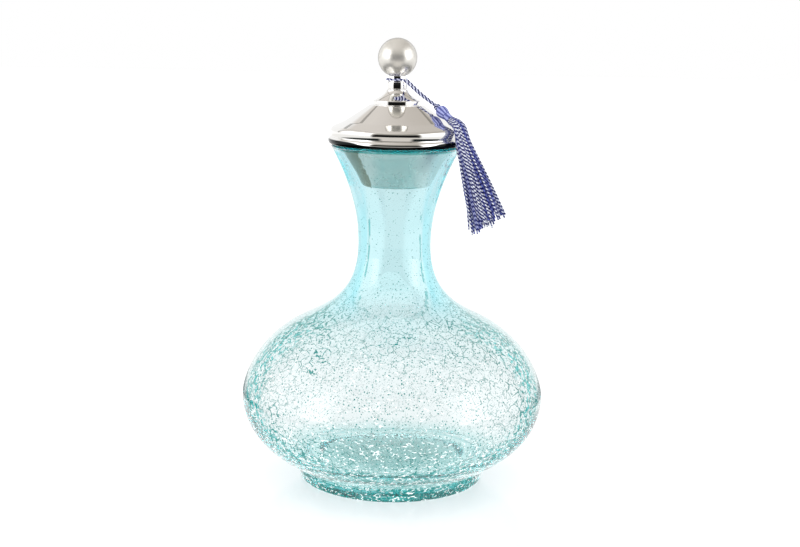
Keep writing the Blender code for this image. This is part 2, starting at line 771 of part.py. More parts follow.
def run():
    for obj in list(bpy.data.objects):
        bpy.data.objects.remove(obj)
    group = collection("glass_carafe")
    cutters = collection("cutters")
    glass = material("aqua_glass", (0.62, 0.88, 0.88), 0.03, transmission=0.9)
    metal = material("polished_nickel", (0.80, 0.77, 0.73), 0.06, metallic=1.0)
    steel = material("plain_steel", (0.55, 0.55, 0.56), 0.35, metallic=1.0)
    thread = material("periwinkle_thread", (0.22, 0.24, 0.55), 0.6)
    lid = empty("lid", SEAT_HEIGHT, group)
    tassel = empty("tassel", SEAT_HEIGHT + KNOB_BASE_HEIGHT + COLLAR_HEIGHT, group)
    build_bottle(group, glass)
    build_cover(group, metal, lid)
    build_plug(group, metal, lid)
    build_stem(group, metal, lid)
    build_ball(group, metal, lid)
    build_stud(group, steel, lid)
    build_washer(group, steel, lid)
    build_nut(group, cutters, steel, lid)
    build_cord(group, thread, tassel)
    build_knot(group, thread, tassel)
    build_head(group, thread, tassel)
    build_binding(group, thread, tassel)
    build_skirt(group, thread, tassel)


run()
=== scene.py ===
"""Looks of the crackle glass carafe, its spun metal stopper and its tassel.

Metres, +Z up, in the frame of the part. The driving sizes are those of its source.
What the photograph shows beyond them is added here: the uneven wall of the glass
and its crackle, painted shade and painted reflections on the metal, and the plies and
strands of the tassel with their painted shade and highlights.
"""

import math
import random

import bpy
import numpy as np
from mathutils import Matrix, Vector, noise
from mathutils.geometry import interpolate_bezier


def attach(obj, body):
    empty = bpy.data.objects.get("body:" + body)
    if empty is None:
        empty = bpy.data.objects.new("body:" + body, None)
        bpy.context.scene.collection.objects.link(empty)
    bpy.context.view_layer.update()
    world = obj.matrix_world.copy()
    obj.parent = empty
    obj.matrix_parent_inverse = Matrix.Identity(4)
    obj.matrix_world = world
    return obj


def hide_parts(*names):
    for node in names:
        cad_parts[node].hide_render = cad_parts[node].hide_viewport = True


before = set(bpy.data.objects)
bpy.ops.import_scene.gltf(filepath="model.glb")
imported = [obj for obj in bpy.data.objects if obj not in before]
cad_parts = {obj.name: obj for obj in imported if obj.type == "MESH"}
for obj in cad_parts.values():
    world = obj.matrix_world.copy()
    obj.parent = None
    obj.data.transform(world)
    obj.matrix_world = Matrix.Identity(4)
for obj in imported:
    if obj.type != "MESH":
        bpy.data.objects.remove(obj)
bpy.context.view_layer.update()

MM = 0.001

# Clearance between pieces that touch
GAP = 0.3 * MM

# Camera: where the photograph was taken from
CAMERA_BACK = 898.5 * MM
CAMERA_HEIGHT = 303.5 * MM
CAMERA_ASIDE = 3.9 * MM
CAMERA_DOWN = math.radians(10.58)
CAMERA_ROLL = math.radians(1.0)
CAMERA_LENS = 63.0
CAMERA_SENSOR = 36.0
CAMERA_REACH = 50.0

# Bottle, outer side
FOOT_RADIUS = 61.9 * MM
FOOT_HEIGHT = 9.0 * MM
FOOT_TAPER = 1.6 * MM
FOOT_EDGE_FILLET = 2.4 * MM
FOOT_SHOULDER_FILLET = 1.2 * MM
CREASE_DEPTH = 0.5 * MM
CREASE_ANGLE = 27
CREASE_FILLET = 0.8 * MM
RESTING_RING_WIDTH = 7.0 * MM
RING_FILLET = 3.0 * MM
HOLLOW_RADIUS = 44.0 * MM
HOLLOW_FALL = 1.3 * MM
HOLLOW_FILLET = 8.0 * MM
KICK_UP = 4.0 * MM
BELLY_RADIUS = 98.4 * MM
BELLY_HEIGHT = 56.2 * MM
SHOULDER_RADIUS = 63.7 * MM
SHOULDER_HEIGHT = 104.0 * MM
SHOULDER_ANGLE = 151.3
NECK_RADIUS = 23.5 * MM
NECK_HEIGHT = 155.5 * MM
MOUTH_RADIUS = 42.2 * MM
MOUTH_ANGLE = 62.7
RIM_HEIGHT = 219.7 * MM
LIP_FILLET = 0.9 * MM

# Bottle, how far its outline keeps to the heading at each of these places, before
# and after it, as shares of the next rise
FOOT_KEEP = 0.40
BELLY_KEEP = (0.52, 0.17)
SHOULDER_KEEP = (0.68, 0.37)
NECK_KEEP = (0.69, 0.45)
MOUTH_KEEP = 0.22
FLOOR_KEEP = 0.60

# Bottle, thickness of the glass
BASE_THICKNESS = 9.5 * MM
FLOOR_RADIUS = 46.0 * MM
FLOOR_ANGLE = 4
BELLY_WALL = 3.6 * MM
SHOULDER_WALL = 4.6 * MM
NECK_WALL = 6.8 * MM
LIP_WALL = 3.7 * MM

# Bottle, how uneven the blower left it, between which heights, and from which
# radius on its underside is crazed
INNER_UNEVENNESS = 0.35 * MM
OUTER_UNEVENNESS = 0.10 * MM
WAVES_ROUND = 1.3
WAVES_PER_METRE = 38
TRUE_BELOW = 5 * MM
TRUE_ABOVE = 216 * MM
CRAZED_FROM_RADIUS = 59.5 * MM

# Stopper, heights above the plane in which its hem lies on the rim
SHEET = 0.8 * MM
SHEET_STRETCH_LIMIT = 0.45
BEAD_RADIUS = 2.6 * MM
BRIM_OVERHANG = 1.5 * MM
COVER_INSET = 1.5 * MM
NOTCH_DEPTH = 0.6 * MM
NOTCH_HEIGHT = 0.65 * MM
COVER_SHOULDER_HEIGHT = 10.7 * MM
COVER_SHOULDER_FILLET = 3.0 * MM
COVER_BREAK_RADIUS = 33.4 * MM
COVER_BREAK_HEIGHT = 14.6 * MM
COVER_BREAK_FILLET = 12.0 * MM
COVER_TOP_RADIUS = 17.4 * MM
COVER_TOP_FILLET = 1.0 * MM
COVER_HEIGHT = 25.2 * MM
PLUG_DEPTH = 25.8 * MM
PLUG_BREAK_DEPTH = 11.5 * MM
PLUG_BREAK_RADIUS = 30.3 * MM
PLUG_BOTTOM_RADIUS = 22.6 * MM
PLUG_TOP_CLEARANCE = 0.4 * MM
PLUG_BREAK_FILLET = 60.0 * MM
PLUG_CORNER_FILLET = 2.8 * MM
PLUG_DISH_RADIUS = 8.0 * MM
PLUG_DISH_FALL = 0.1 * MM
PLUG_DISH_FILLET = 20.0 * MM

# Finial
STUD_RADIUS = 2.0 * MM
STUD_HOLE_DEPTH = 14.5 * MM
STEM_BASE_RADIUS = 15.4 * MM
STEM_BAND_HEIGHT = 2.8 * MM
STEM_BAND_INSET = 0.8 * MM
STEM_BAND_FALL = 0.1 * MM
STEM_BAND_FILLET = 0.45 * MM
STEM_FINE_FILLET = 0.3 * MM
STEM_HEIGHT = 9.5 * MM
STEM_TOP_RADIUS = 6.8 * MM
STEM_TOP_CHAMFER = 0.4 * MM
STEM_TOP_FILLET = 0.25 * MM
FLARE_BASE_ANGLE = 150
FLARE_TOP_ANGLE = 105
FLARE_KEEP = (0.5, 0.45)
COLLAR_STEP = 0.9 * MM
COLLAR_HEIGHT = 4.5 * MM
COLLAR_TOP_FILLET = 0.3 * MM
COLLAR_FOOT_FILLET = 0.4 * MM
LOOP_NECK_RADIUS = 5.6 * MM
LOOP_NECK_FILLET = 0.4 * MM
LOOP_NECK_TOP = 8.2 * MM
BALL_RADIUS = 12.5 * MM
BALL_CENTRE_HEIGHT = 19.7 * MM

# Tassel: its pieces. The knot's core is given as (along, radius) in millimetres
CORD_DIAMETER = 1.3 * MM
CORD_ENDS_APART = 1.7 * MM
CORD_SAG = 0.6 * MM
CORD_LIFT = 0.6 * MM
CORD_RING_POINTS = 11
CORD_POINT_DIGITS = 5
CORD_PLY_OFFSET = 0.36 * MM
CORD_PLY_RADIUS = 0.40 * MM
CORD_PITCH = 3.0 * MM
KNOT_LENGTH = 2.8 * MM
KNOT_TURNS = 2.6
KNOT_COIL_START = 0.55 * MM
KNOT_COIL_LENGTH = 1.75 * MM
KNOT_COIL_RADIUS = 1.45 * MM
KNOT_COIL_SWELL = 0.25 * MM
KNOT_CORE = ((0.2, 0.5), (0.6, 1.1), (1.4, 1.4), (2.2, 1.1), (2.7, 0.6))
KNOT_PLY_OFFSET = 0.30 * MM
KNOT_PLY_RADIUS = 0.36 * MM
KNOT_PITCH = 2.4 * MM
HEAD_RADIUS = 3.9 * MM
HEAD_LENGTH = 8.6 * MM
HEAD_CROWN = 3.6 * MM
HEAD_TOP_RADIUS = 0.1 * MM
HEAD_WAIST_ANGLE = 75
HEAD_WAIST_KEEP = 0.20
HEAD_SIDE_KEEP = (0.35, 0.55)
HEAD_TOP_KEEP = 0.60
HEAD_THREADS = 22
HEAD_RIDGE = 0.16 * MM
BINDING_RADIUS = 2.8 * MM
BINDING_LENGTH = 4.4 * MM
BINDING_THREADS = 12
BINDING_RIDGE = 0.26 * MM
BINDING_SLACK = 0.05 * MM
BINDING_WAIST = 0.15 * MM
BINDING_PINCH = 0.25 * MM
BINDING_PINCH_AT = 0.12
BINDING_PINCH_WIDTH = 0.08
RIDGE_WEIGHTS = (0.6, 1.0)
THREAD_DRIFT = 0.25
DRIFT_LENGTH = 2.0 * MM
LEAST_BUNDLE_RADIUS = 0.05 * MM
HEAD_SEED = 5
BINDING_SEED = 9

# Tassel: its skirt. Its middle follows the skirt of the part, and each of its
# strands is a tube of its own, drawn toward one of the clumps
SKIRT_TOP_INSET = 0.2 * MM
SKIRT_BACKING = 0.8 * MM
SKIRT_LENGTH = 72.0 * MM
SKIRT_RADIUS_ON_SHOULDER = 3.9 * MM
SKIRT_RADIUS_AT_BRIM = 5.4 * MM
SKIRT_RADIUS_AT_TIPS = 13.0 * MM
SKIRT_FILL = 0.96
STRANDS = 100
STRAND_LENGTH = 75.0 * MM
STRAND_UNEVENNESS = (-0.045, 0.03)
STRAND_RADIUS = 0.54 * MM
STRAND_RADIUS_RANGE = (0.9, 1.1)
STRAND_POINT_SPACING = 2.0 * MM
STRAND_TAPER_POINTS = 6
STRAND_TAPER = 0.45
STRAND_OVERSHOOT = 0.25
CLUMPS = 15
CLUMP_TURN = 2.4
SKIRT_SEED = 3
LOOSE_AT_STOPS = (0, 0, 0.05, 0.08, 0.11, 0.13)
DRAWN_AT_STOPS = (0, 0, 0.05, 0.15, 0.30, 0.42)

# Tassel: how it lies on the cover and hangs over the brim, in degrees round +Z
# and away from straight down
HEAD_AZIMUTH = -17
HEAD_DOWN_CONE = 12.2 * MM
HEAD_SLANT = 29
SHOULDER_AZIMUTH = -30
SHOULDER_ANGLE_OF_SKIRT = 45
BRIM_AZIMUTH = -31
SKIRT_LEAN = 20
SKIRT_LEAN_AZIMUTH = -20

# Fineness
BOTTLE_STEPS = 288
SPUN_STEPS = 160
FINIAL_STEPS = 128
FLAT_STEPS = 8
POINTS_PER_WALL = 40
POINTS_PER_FLARE = 30
POINTS_PER_BULB = 14
POINTS_PER_SPAN = 12
POINTS_PER_STRAND_SPAN = 9
POINTS_PER_KNOT = 90
POINTS_PER_BINDING = 25
POINTS_PER_TWIST = 14
CORD_SPACING = 0.6 * MM
PLY_SIDES = 8
CORE_SIDES = 16
STRAND_SIDES = 7
SIDES_PER_THREAD = 6
ARC_STEP = math.radians(5)
BEAD_STEP = math.radians(6)
BALL_STEP = math.radians(3)

# Sizes that follow; those on the stopper are from the plane of its hem
FLOOR_HEIGHT = KICK_UP + BASE_THICKNESS
SEAT_HEIGHT = RIM_HEIGHT + GAP
BRIM_RADIUS = MOUTH_RADIUS + BRIM_OVERHANG
BEAD_CENTRE = Vector((BRIM_RADIUS - BEAD_RADIUS, BEAD_RADIUS))
COVER_WALL_RADIUS = BRIM_RADIUS - COVER_INSET
PLUG_TOP_RADIUS = MOUTH_RADIUS - LIP_WALL - PLUG_TOP_CLEARANCE
STEM_BASE_HEIGHT = COVER_HEIGHT + GAP
KNOB_BASE_HEIGHT = STEM_BASE_HEIGHT + STEM_HEIGHT + GAP
BORE_RADIUS = STUD_RADIUS + GAP
COLLAR_RADIUS = LOOP_NECK_RADIUS + COLLAR_STEP


def make_camera():
    data = bpy.data.cameras.new("camera")
    data.lens = CAMERA_LENS
    data.sensor_width = CAMERA_SENSOR
    data.clip_end = CAMERA_REACH
    camera = bpy.data.objects.new("camera", data)
    camera.location = (CAMERA_ASIDE, -CAMERA_BACK, CAMERA_HEIGHT)
    look = Matrix.Rotation(math.pi / 2 - CAMERA_DOWN, 4, "X")
    roll = Matrix.Rotation(CAMERA_ROLL, 4, "Z")
    camera.rotation_euler = (look @ roll).to_euler()
    bpy.context.scene.collection.objects.link(camera)
    bpy.context.scene.camera = camera


# Outlines and meshes


def heading_vector(degrees):
    return Vector((math.cos(math.radians(degrees)), math.sin(math.radians(degrees))))


def polar(radius, azimuth, height):
    angle = math.radians(azimuth)
    return Vector((math.cos(angle) * radius, math.sin(angle) * radius, height))


def through(stations, count):
    """Points of the smooth outline through (point, heading, keep before, keep after)."""
    points = [stations[0][0]]
    for low, high in zip(stations, stations[1:]):
        rise = abs(high[0].y - low[0].y)
        leave = low[0] + heading_vector(low[1]) * low[3] * rise
        arrive = high[0] - heading_vector(high[1]) * high[2] * rise
        points += interpolate_bezier(low[0], leave, arrive, high[0], count)[1:]
    return points


def arc(centre, radius, start, end, step=ARC_STEP):
    """Points of an arc from one angle to another, in radians."""
    count = max(2, math.ceil(abs(end - start) / step))
    angles = [start + (end - start) * i / count for i in range(count + 1)]
    return [centre + Vector((math.cos(a), math.sin(a))) * radius for a in angles]


def rounded(corners):
    """The outline through these (x, y, fillet) corners, each turned into an arc."""
    corners = [(Vector((x, y)), fillet) for x, y, fillet in corners]
    points = [corners[0][0]]
    for before, (corner, fillet), after in zip(corners, corners[1:], corners[2:]):
        if fillet == 0:
            points.append(corner)
            continue
        back = (before[0] - corner).normalized()
        ahead = (after[0] - corner).normalized()
        half = back.angle(ahead) / 2
        centre = corner + (back + ahead).normalized() * fillet / math.sin(half)
        first = corner + back * fillet / math.tan(half) - centre
        last = corner + ahead * fillet / math.tan(half) - centre
        start = math.atan2(first.y, first.x)
        points += arc(centre, fillet, start, start - first.angle_signed(last))
    return points + [corners[-1][0]]


def sheet_outline(outline):
    """A spun sheet's outline: its outer side, then its inner side back."""
    inner = []
    last = len(outline) - 1
    for i, point in enumerate(outline):
        before = outline[max(i - 1, 0)]
        after = outline[min(i + 1, last)]
        come = (point - before).normalized() if i else (after - point).normalized()
        leave = (after - point).normalized() if i < last else come
        normal = Vector((-(come.y + leave.y), come.x + leave.x)).normalized()
        stretch = max(normal.dot(Vector((-come.y, come.x))), SHEET_STRETCH_LIMIT)
        place = point - normal * SHEET / stretch
        inner.append(Vector((max(place.x, 0.0), place.y)))
    return outline + inner[::-1]


def mesh_object(name, verts, faces, smooth=True):
    mesh = bpy.data.meshes.new(name)
    mesh.from_pydata([tuple(v) for v in verts], [], faces)
    mesh.update()
    if smooth:
        mesh.shade_smooth()
    return bpy.data.objects.new(name, mesh)


def revolved(name, outline, steps, height=0.0, closed=False, push=None):
    """A turned mesh. The outline, as (radius, height), runs down its outer side, and
    push says how far each point moves outward."""
    verts = []
    rows = []
    for index, point in enumerate(outline):
        if point.x < 1e-6:
            rows.append([len(verts)] * steps)
            verts.append((0, 0, point.y + height))
            continue
        rows.append(list(range(len(verts), len(verts) + steps)))
        for k in range(steps):
            angle = math.tau * k / steps
            radius = point.x + (push(index, angle, point) if push else 0.0)
            verts.append((math.cos(angle) * radius, math.sin(angle) * radius, point.y + height))
    pairs = list(zip(rows, rows[1:]))
    if closed:
        pairs.append((rows[-1], rows[0]))
    faces = []
    for upper, lower in pairs:
        for k in range(steps):
            n = (k + 1) % steps
            face = list(dict.fromkeys([upper[k], lower[k], lower[n], upper[n]]))
            if len(face) > 2:
                faces.append(face)
    return mesh_object(name, verts, faces)


def link(obj, body, material, node):
    bpy.context.scene.collection.objects.link(obj)
    obj.data.materials.append(material)
    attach(obj, body)
    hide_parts(node)
    return obj


# Bottle


def inward(station, wall):
    """The same station on the inner side of a wall of this thickness."""
    point, turn, before, after = station
    return (point + heading_vector(turn + 90) * wall, turn, before, after)


def outer_stations():
    return [
        (Vector((FOOT_RADIUS - CREASE_DEPTH, FOOT_HEIGHT)), CREASE_ANGLE, 0.0, FOOT_KEEP),
        (Vector((BELLY_RADIUS, BELLY_HEIGHT)), 90, *BELLY_KEEP),
        (Vector((SHOULDER_RADIUS, SHOULDER_HEIGHT)), SHOULDER_ANGLE, *SHOULDER_KEEP),
        (Vector((NECK_RADIUS, NECK_HEIGHT)), 90, *NECK_KEEP),
        (Vector((MOUTH_RADIUS, RIM_HEIGHT)), MOUTH_ANGLE, MOUTH_KEEP, 0.0),
    ]


def inner_stations():
    _, belly, shoulder, neck, mouth = outer_stations()
    return [
        (Vector((FLOOR_RADIUS, FLOOR_HEIGHT)), FLOOR_ANGLE, 0.0, FLOOR_KEEP),
        inward(belly, BELLY_WALL),
        inward(shoulder, SHOULDER_WALL),
        inward(neck, NECK_WALL),
        (mouth[0] - Vector((LIP_WALL, 0)), *mouth[1:]),
    ]


def foot_outline(side):
    """From the end of the outer side round the foot's edge and in to the middle."""
    bottom = FOOT_RADIUS - FOOT_TAPER
    ring_inner = bottom - FOOT_EDGE_FILLET - RESTING_RING_WIDTH
    edge = rounded([
        (*side[-2], 0),
        (*side[-1], CREASE_FILLET),
        (FOOT_RADIUS, FOOT_HEIGHT - CREASE_DEPTH, FOOT_SHOULDER_FILLET),
        (bottom, 0, FOOT_EDGE_FILLET),
        (ring_inner, 0, RING_FILLET),
        (HOLLOW_RADIUS, KICK_UP - HOLLOW_FALL, HOLLOW_FILLET),
        (0, KICK_UP, 0),
    ])
    shares = [i / FLAT_STEPS for i in range(FLAT_STEPS - 1, -1, -1)]
    hollow = [Vector((HOLLOW_RADIUS * s, KICK_UP - HOLLOW_FALL * s**2)) for s in shares]
    return edge[1:-1] + hollow


def bottle_outline():
    """Up the inner side from the middle of its floor, over the lip, down the outer
    side and in under the foot; and the index at which the outer side starts."""
    floor = [Vector((FLOOR_RADIUS * i / FLAT_STEPS, FLOOR_HEIGHT)) for i in range(FLAT_STEPS)]
    inside = through(inner_stations(), POINTS_PER_WALL)
    outside = through(outer_stations(), POINTS_PER_WALL)[::-1]
    lip = rounded([
        (*inside[-2], 0),
        (*inside[-1], LIP_FILLET),
        (*outside[0], LIP_FILLET),
        (*outside[1], 0),
    ])
    up = floor + inside[:-1]
    outline = up + lip[1:-1] + outside[1:-1] + foot_outline(outside)
    return outline, len(up) + len(lip) // 2


def mark_outer_side(bottle, first):
    """Marks the vertices from this one on as outer side, which is crazed, apart
    from those under the foot."""
    values = np.zeros(len(bottle.data.vertices), np.float32)
    values[first:] = 1.0
    for vertex in bottle.data.vertices:
        if vertex.co.z < TRUE_BELOW and vertex.co.xy.length < CRAZED_FROM_RADIUS:
            values[vertex.index] = 0.0
    marks = bottle.data.attributes.new("outside", "FLOAT", "POINT")
    marks.data.foreach_set("value", values)


def make_bottle():
    outline, outer_start = bottle_outline()

    def push(index, angle, point):
        if point.y > TRUE_ABOVE or point.y < TRUE_BELOW:
            return 0.0
        reach = INNER_UNEVENNESS if index < outer_start else OUTER_UNEVENNESS
        around = heading_vector(math.degrees(angle)) * WAVES_ROUND
        return noise.noise(Vector((*around, point.y * WAVES_PER_METRE))) * reach

    bottle = revolved("bottle", outline, BOTTLE_STEPS, push=push)
    mark_outer_side(bottle, 1 + (outer_start - 1) * BOTTLE_STEPS)
    return bottle


# Stopper


def make_cover():
    """Flat top, cone, rounded shoulder, notch, the bead rolled round to the rim,
    and the hem turned in under it."""
    notch = COVER_WALL_RADIUS - NOTCH_DEPTH - BEAD_CENTRE.x
    bead_start = math.acos(notch / BEAD_RADIUS)
    bead = arc(BEAD_CENTRE, BEAD_RADIUS, bead_start, -math.pi / 2, BEAD_STEP)
    outline = rounded([
        (BORE_RADIUS, COVER_HEIGHT, 0),
        (COVER_TOP_RADIUS, COVER_HEIGHT, COVER_TOP_FILLET),
        (COVER_BREAK_RADIUS, COVER_BREAK_HEIGHT, COVER_BREAK_FILLET),
        (COVER_WALL_RADIUS, COVER_SHOULDER_HEIGHT, COVER_SHOULDER_FILLET),
        (COVER_WALL_RADIUS, bead[0].y + NOTCH_HEIGHT, 0),
        (*bead[0], 0),
    ])
    outline += bead[1:] + [Vector((PLUG_TOP_RADIUS + 2 * GAP, 0))]
    return revolved("cover", sheet_outline(outline), SPUN_STEPS, SEAT_HEIGHT, closed=True)


def make_plug():
    """The spun cup that hangs in the mouth and narrows with the glass around it."""
    flange = SHEET + GAP
    outline = rounded([
        (BEAD_CENTRE.x, flange, 0),
        (PLUG_TOP_RADIUS, flange, SHEET),
        (PLUG_BREAK_RADIUS, -PLUG_BREAK_DEPTH, PLUG_BREAK_FILLET),
        (PLUG_BOTTOM_RADIUS, -PLUG_DEPTH, PLUG_CORNER_FILLET),
        (PLUG_DISH_RADIUS, -PLUG_DEPTH - PLUG_DISH_FALL, PLUG_DISH_FILLET),
        (0, -PLUG_DEPTH, 0),
    ])
    both_sides = sheet_outline(outline)
    both_sides[len(outline)].x = 0.0
    return revolved("plug", both_sides, SPUN_STEPS, SEAT_HEIGHT)


def make_stem():
    """The turned pedestal of the finial: a stepped band, then a trumpet flare."""
    flare_base = Vector((STEM_BASE_RADIUS - STEM_BAND_INSET, STEM_BAND_HEIGHT))
    flare_top = Vector((STEM_TOP_RADIUS, STEM_HEIGHT))
    flare = through([
        (flare_base, FLARE_BASE_ANGLE, 0.0, FLARE_KEEP[0]),
        (flare_top, FLARE_TOP_ANGLE, FLARE_KEEP[1], 0.0),
    ], POINTS_PER_FLARE)
    outline = [Vector((BORE_RADIUS, STEM_HEIGHT))]
    outline += rounded([
        (STEM_TOP_RADIUS - STEM_TOP_CHAMFER, STEM_HEIGHT, 0),
        (*flare[-1], STEM_TOP_FILLET),
        *((*point, 0) for point in flare[-2:0:-1]),
        (*flare_base, STEM_FINE_FILLET),
        (STEM_BASE_RADIUS, STEM_BAND_HEIGHT - STEM_BAND_FALL, STEM_BAND_FILLET),
        (STEM_BASE_RADIUS, 0, STEM_FINE_FILLET),
        (BORE_RADIUS, 0, 0),
    ])
    return revolved("stem", outline, FINIAL_STEPS, SEAT_HEIGHT + STEM_BASE_HEIGHT, closed=True)


def make_ball():
    """The ball with its grooved neck and collar, bored from below for the stud."""
    centre = Vector((0, BALL_CENTRE_HEIGHT))
    meets_neck = math.asin(LOOP_NECK_RADIUS / BALL_RADIUS) - math.pi / 2
    ball = arc(centre, BALL_RADIUS, math.pi / 2, meets_neck, BALL_STEP)
    neck = rounded([
        (*ball[-1], 0),
        (LOOP_NECK_RADIUS, LOOP_NECK_TOP, 0),
        (LOOP_NECK_RADIUS, COLLAR_HEIGHT, LOOP_NECK_FILLET),
        (COLLAR_RADIUS, COLLAR_HEIGHT, COLLAR_TOP_FILLET),
        (COLLAR_RADIUS, 0, COLLAR_FOOT_FILLET),
        (BORE_RADIUS, 0, 0),
        (BORE_RADIUS, STUD_HOLE_DEPTH, 0),
        (0, STUD_HOLE_DEPTH, 0),
    ])
    return revolved("ball", ball + neck[1:], FINIAL_STEPS, SEAT_HEIGHT + KNOB_BASE_HEIGHT)


# Tassel


def cone_down():
    """Down the cover's cone, as (outward, up)."""
    across = COVER_BREAK_RADIUS - COVER_TOP_RADIUS
    return Vector((across, COVER_BREAK_HEIGHT - COVER_HEIGHT)).normalized()


def head_direction():
    """Down the cone, turned aside by the slant."""
    down = cone_down()
    slant = math.radians(HEAD_SLANT)
    straight = polar(down.x, HEAD_AZIMUTH, down.y)
    return straight * math.cos(slant) + polar(1, HEAD_AZIMUTH - 90, 0) * math.sin(slant)


def head_start():
    """Where the knot starts, so that the bulb's widest part lies on the cone."""
    down = cone_down()
    outward = Vector((-down.y, down.x))
    edge = Vector((COVER_TOP_RADIUS, COVER_HEIGHT))
    widest = edge + down * HEAD_DOWN_CONE + outward * (HEAD_RADIUS + GAP)
    place = polar(widest.x, HEAD_AZIMUTH, SEAT_HEIGHT + widest.y)
    return place - head_direction() * (KNOT_LENGTH + GAP + HEAD_CROWN)


def on_head(along, aside=0.0, angle=0.0):
    """A point this far along the head's axis from the knot's start, and off it."""
    axis = head_direction()
    u = axis.orthogonal().normalized()
    v = axis.cross(u)
    return head_start() + axis * along + (u * math.cos(angle) + v * math.sin(angle)) * aside


def smooth(points, count=POINTS_PER_SPAN):
    """A smooth curve through the points."""
    ends = [points[0] * 2 - points[1], *points, points[-1] * 2 - points[-2]]
    fine = [points[0]]
    for a, b, c, d in zip(ends, ends[1:], ends[2:], ends[3:]):
        fine += interpolate_bezier(b, b + (c - a) / 6, c - (d - b) / 6, c, count)[1:]
    return fine


def lengths_along(points):
    """How far along the polyline each of its points lies."""
    lengths = [0.0]
    for start, end in zip(points, points[1:]):
        lengths.append(lengths[-1] + (end - start).length)
    return lengths


def evenly(points, spacing):
    """Points at about this spacing along a polyline, and its length."""
    lengths = lengths_along(points)
    total = lengths[-1]
    count = max(2, round(total / spacing))
    out = []
    index = 0
    for i in range(count + 1):
        wanted = min(total * i / count, total)
        while index < len(points) - 2 and lengths[index + 1] < wanted:
            index += 1
        step = lengths[index + 1] - lengths[index]
        out.append(points[index].lerp(points[index + 1], min(1, (wanted - lengths[index]) / step)))
    return out, total


def across(points):
    """Two directions across a route at each of its points, without twist."""
    side = (points[1] - points[0]).orthogonal().normalized()
    out = []
    for i in range(len(points)):
        ahead = (points[min(i + 1, len(points) - 1)] - points[max(i - 1, 0)]).normalized()
        side = (side - ahead * side.dot(ahead)).normalized()
        out.append((side, ahead.cross(side)))
    return out


class Tubes:
    """Collects closed tubes into one mesh. Each has its own tone, from 0 to 1, and
    its faces know their place on the thread, (along, around), as UV."""

    def __init__(self):
        self.verts = []
        self.faces = []
        self.uv = []
        self.tones = []

    def add(self, points, radii, sides, tone=0.5):
        """A round tube along the points."""
        angles = [math.tau * k / sides for k in range(sides)]
        rings = []
        for point, radius, (u, v) in zip(points, radii, across(points)):
            rings.append([point + (u * math.cos(a) + v * math.sin(a)) * radius for a in angles])
        self.add_rings(rings, lengths_along(points), sides, tone)

    def add_rings(self, rings, lengths, sides_per_thread, tone):
        """A tube through these rings, each of which lies this far along it."""
        sides = len(rings[0])
        base = len(self.verts)
        self.verts += [vert for ring in rings for vert in ring]
        self.tones += [tone] * (len(rings) * sides)
        for i, (low, high) in enumerate(zip(lengths, lengths[1:])):
            a = base + i * sides
            for k in range(sides):
                n = (k + 1) % sides
                left, right = k / sides_per_thread, (k + 1) / sides_per_thread
                self.faces.append((a + k, a + n, a + sides + n, a + sides + k))
                self.uv += [(low, left), (low, right), (high, right), (high, left)]
        top = range(base, base + sides)
        end = range(len(self.verts) - sides, len(self.verts))
        self.faces += [tuple(reversed(top)), tuple(end)]
        self.uv += [(0.0, 0.0)] * (2 * sides)

    def object(self, name):
        made = mesh_object(name, self.verts, self.faces)
        layer = made.data.uv_layers.new(name="thread")
        layer.data.foreach_set("uv", np.array(self.uv, np.float32).ravel())
        tones = made.data.attributes.new("tone", "FLOAT", "POINT")
        tones.data.foreach_set("value", np.array(self.tones, np.float32))
        return made


def add_plies(tubes, route, offset, radius, pitch):
    """Two plies wound round a route, one for painted shade and one for painted highlight."""
    points, _ = evenly(route, pitch / POINTS_PER_TWIST)
    directions = across(points)
    lengths = lengths_along(points)
    for ply in (0, 1):
        wound = []
        for point, (u, v), run in zip(points, directions, lengths):
            angle = math.tau * (run / pitch + ply / 2)
            wound.append(point + (u * math.cos(angle) + v * math.sin(angle)) * offset)
        tubes.add(wound, [radius] * len(wound), PLY_SIDES, tone=ply)


def loop_route():
    """The cord's own points, to a hundredth of a millimetre: up from the knot, over
    the collar's edge, round the far side of the neck, and back over the edge."""
    half = CORD_DIAMETER / 2
    height = SEAT_HEIGHT + KNOB_BASE_HEIGHT + COLLAR_HEIGHT + GAP + half + CORD_LIFT
    radius = LOOP_NECK_RADIUS + GAP + half
    past_edge = math.sqrt((COLLAR_RADIUS + GAP + half) ** 2 - radius**2)
    knot = head_start() - head_direction() * GAP
    aside = head_direction().cross(Vector((0, 0, 1))).normalized() * CORD_ENDS_APART / 2
    toward_knot = math.degrees(math.atan2(knot.y, knot.x))
    opening = math.degrees(math.acos(radius / knot.xy.length))
    step = (360 - 2 * opening) / (CORD_RING_POINTS - 1)
    ring = [
        polar(radius, toward_knot - opening - step * i, height) for i in range(CORD_RING_POINTS)
    ]
    strands = []
    for end, touch in ((knot + aside, ring[0]), (knot - aside, ring[-1])):
        out = Vector((*(end - touch).xy.normalized(), 0))
        edge = touch + out * past_edge - Vector((0, 0, CORD_LIFT / 2))
        middle = end.lerp(edge, 0.5) - Vector((0, 0, CORD_SAG))
        strands.append([end, middle, edge])
    route = [*strands[0], *ring, *strands[1][::-1]]
    return [Vector([round(c, CORD_POINT_DIGITS) for c in point]) for point in route]


def make_cord():
    """The cord, its middle line and its length."""
    path, length = evenly(smooth(loop_route()), CORD_SPACING)
    tubes = Tubes()
    add_plies(tubes, path, CORD_PLY_OFFSET, CORD_PLY_RADIUS, CORD_PITCH)
    return tubes.object("cord"), path, length


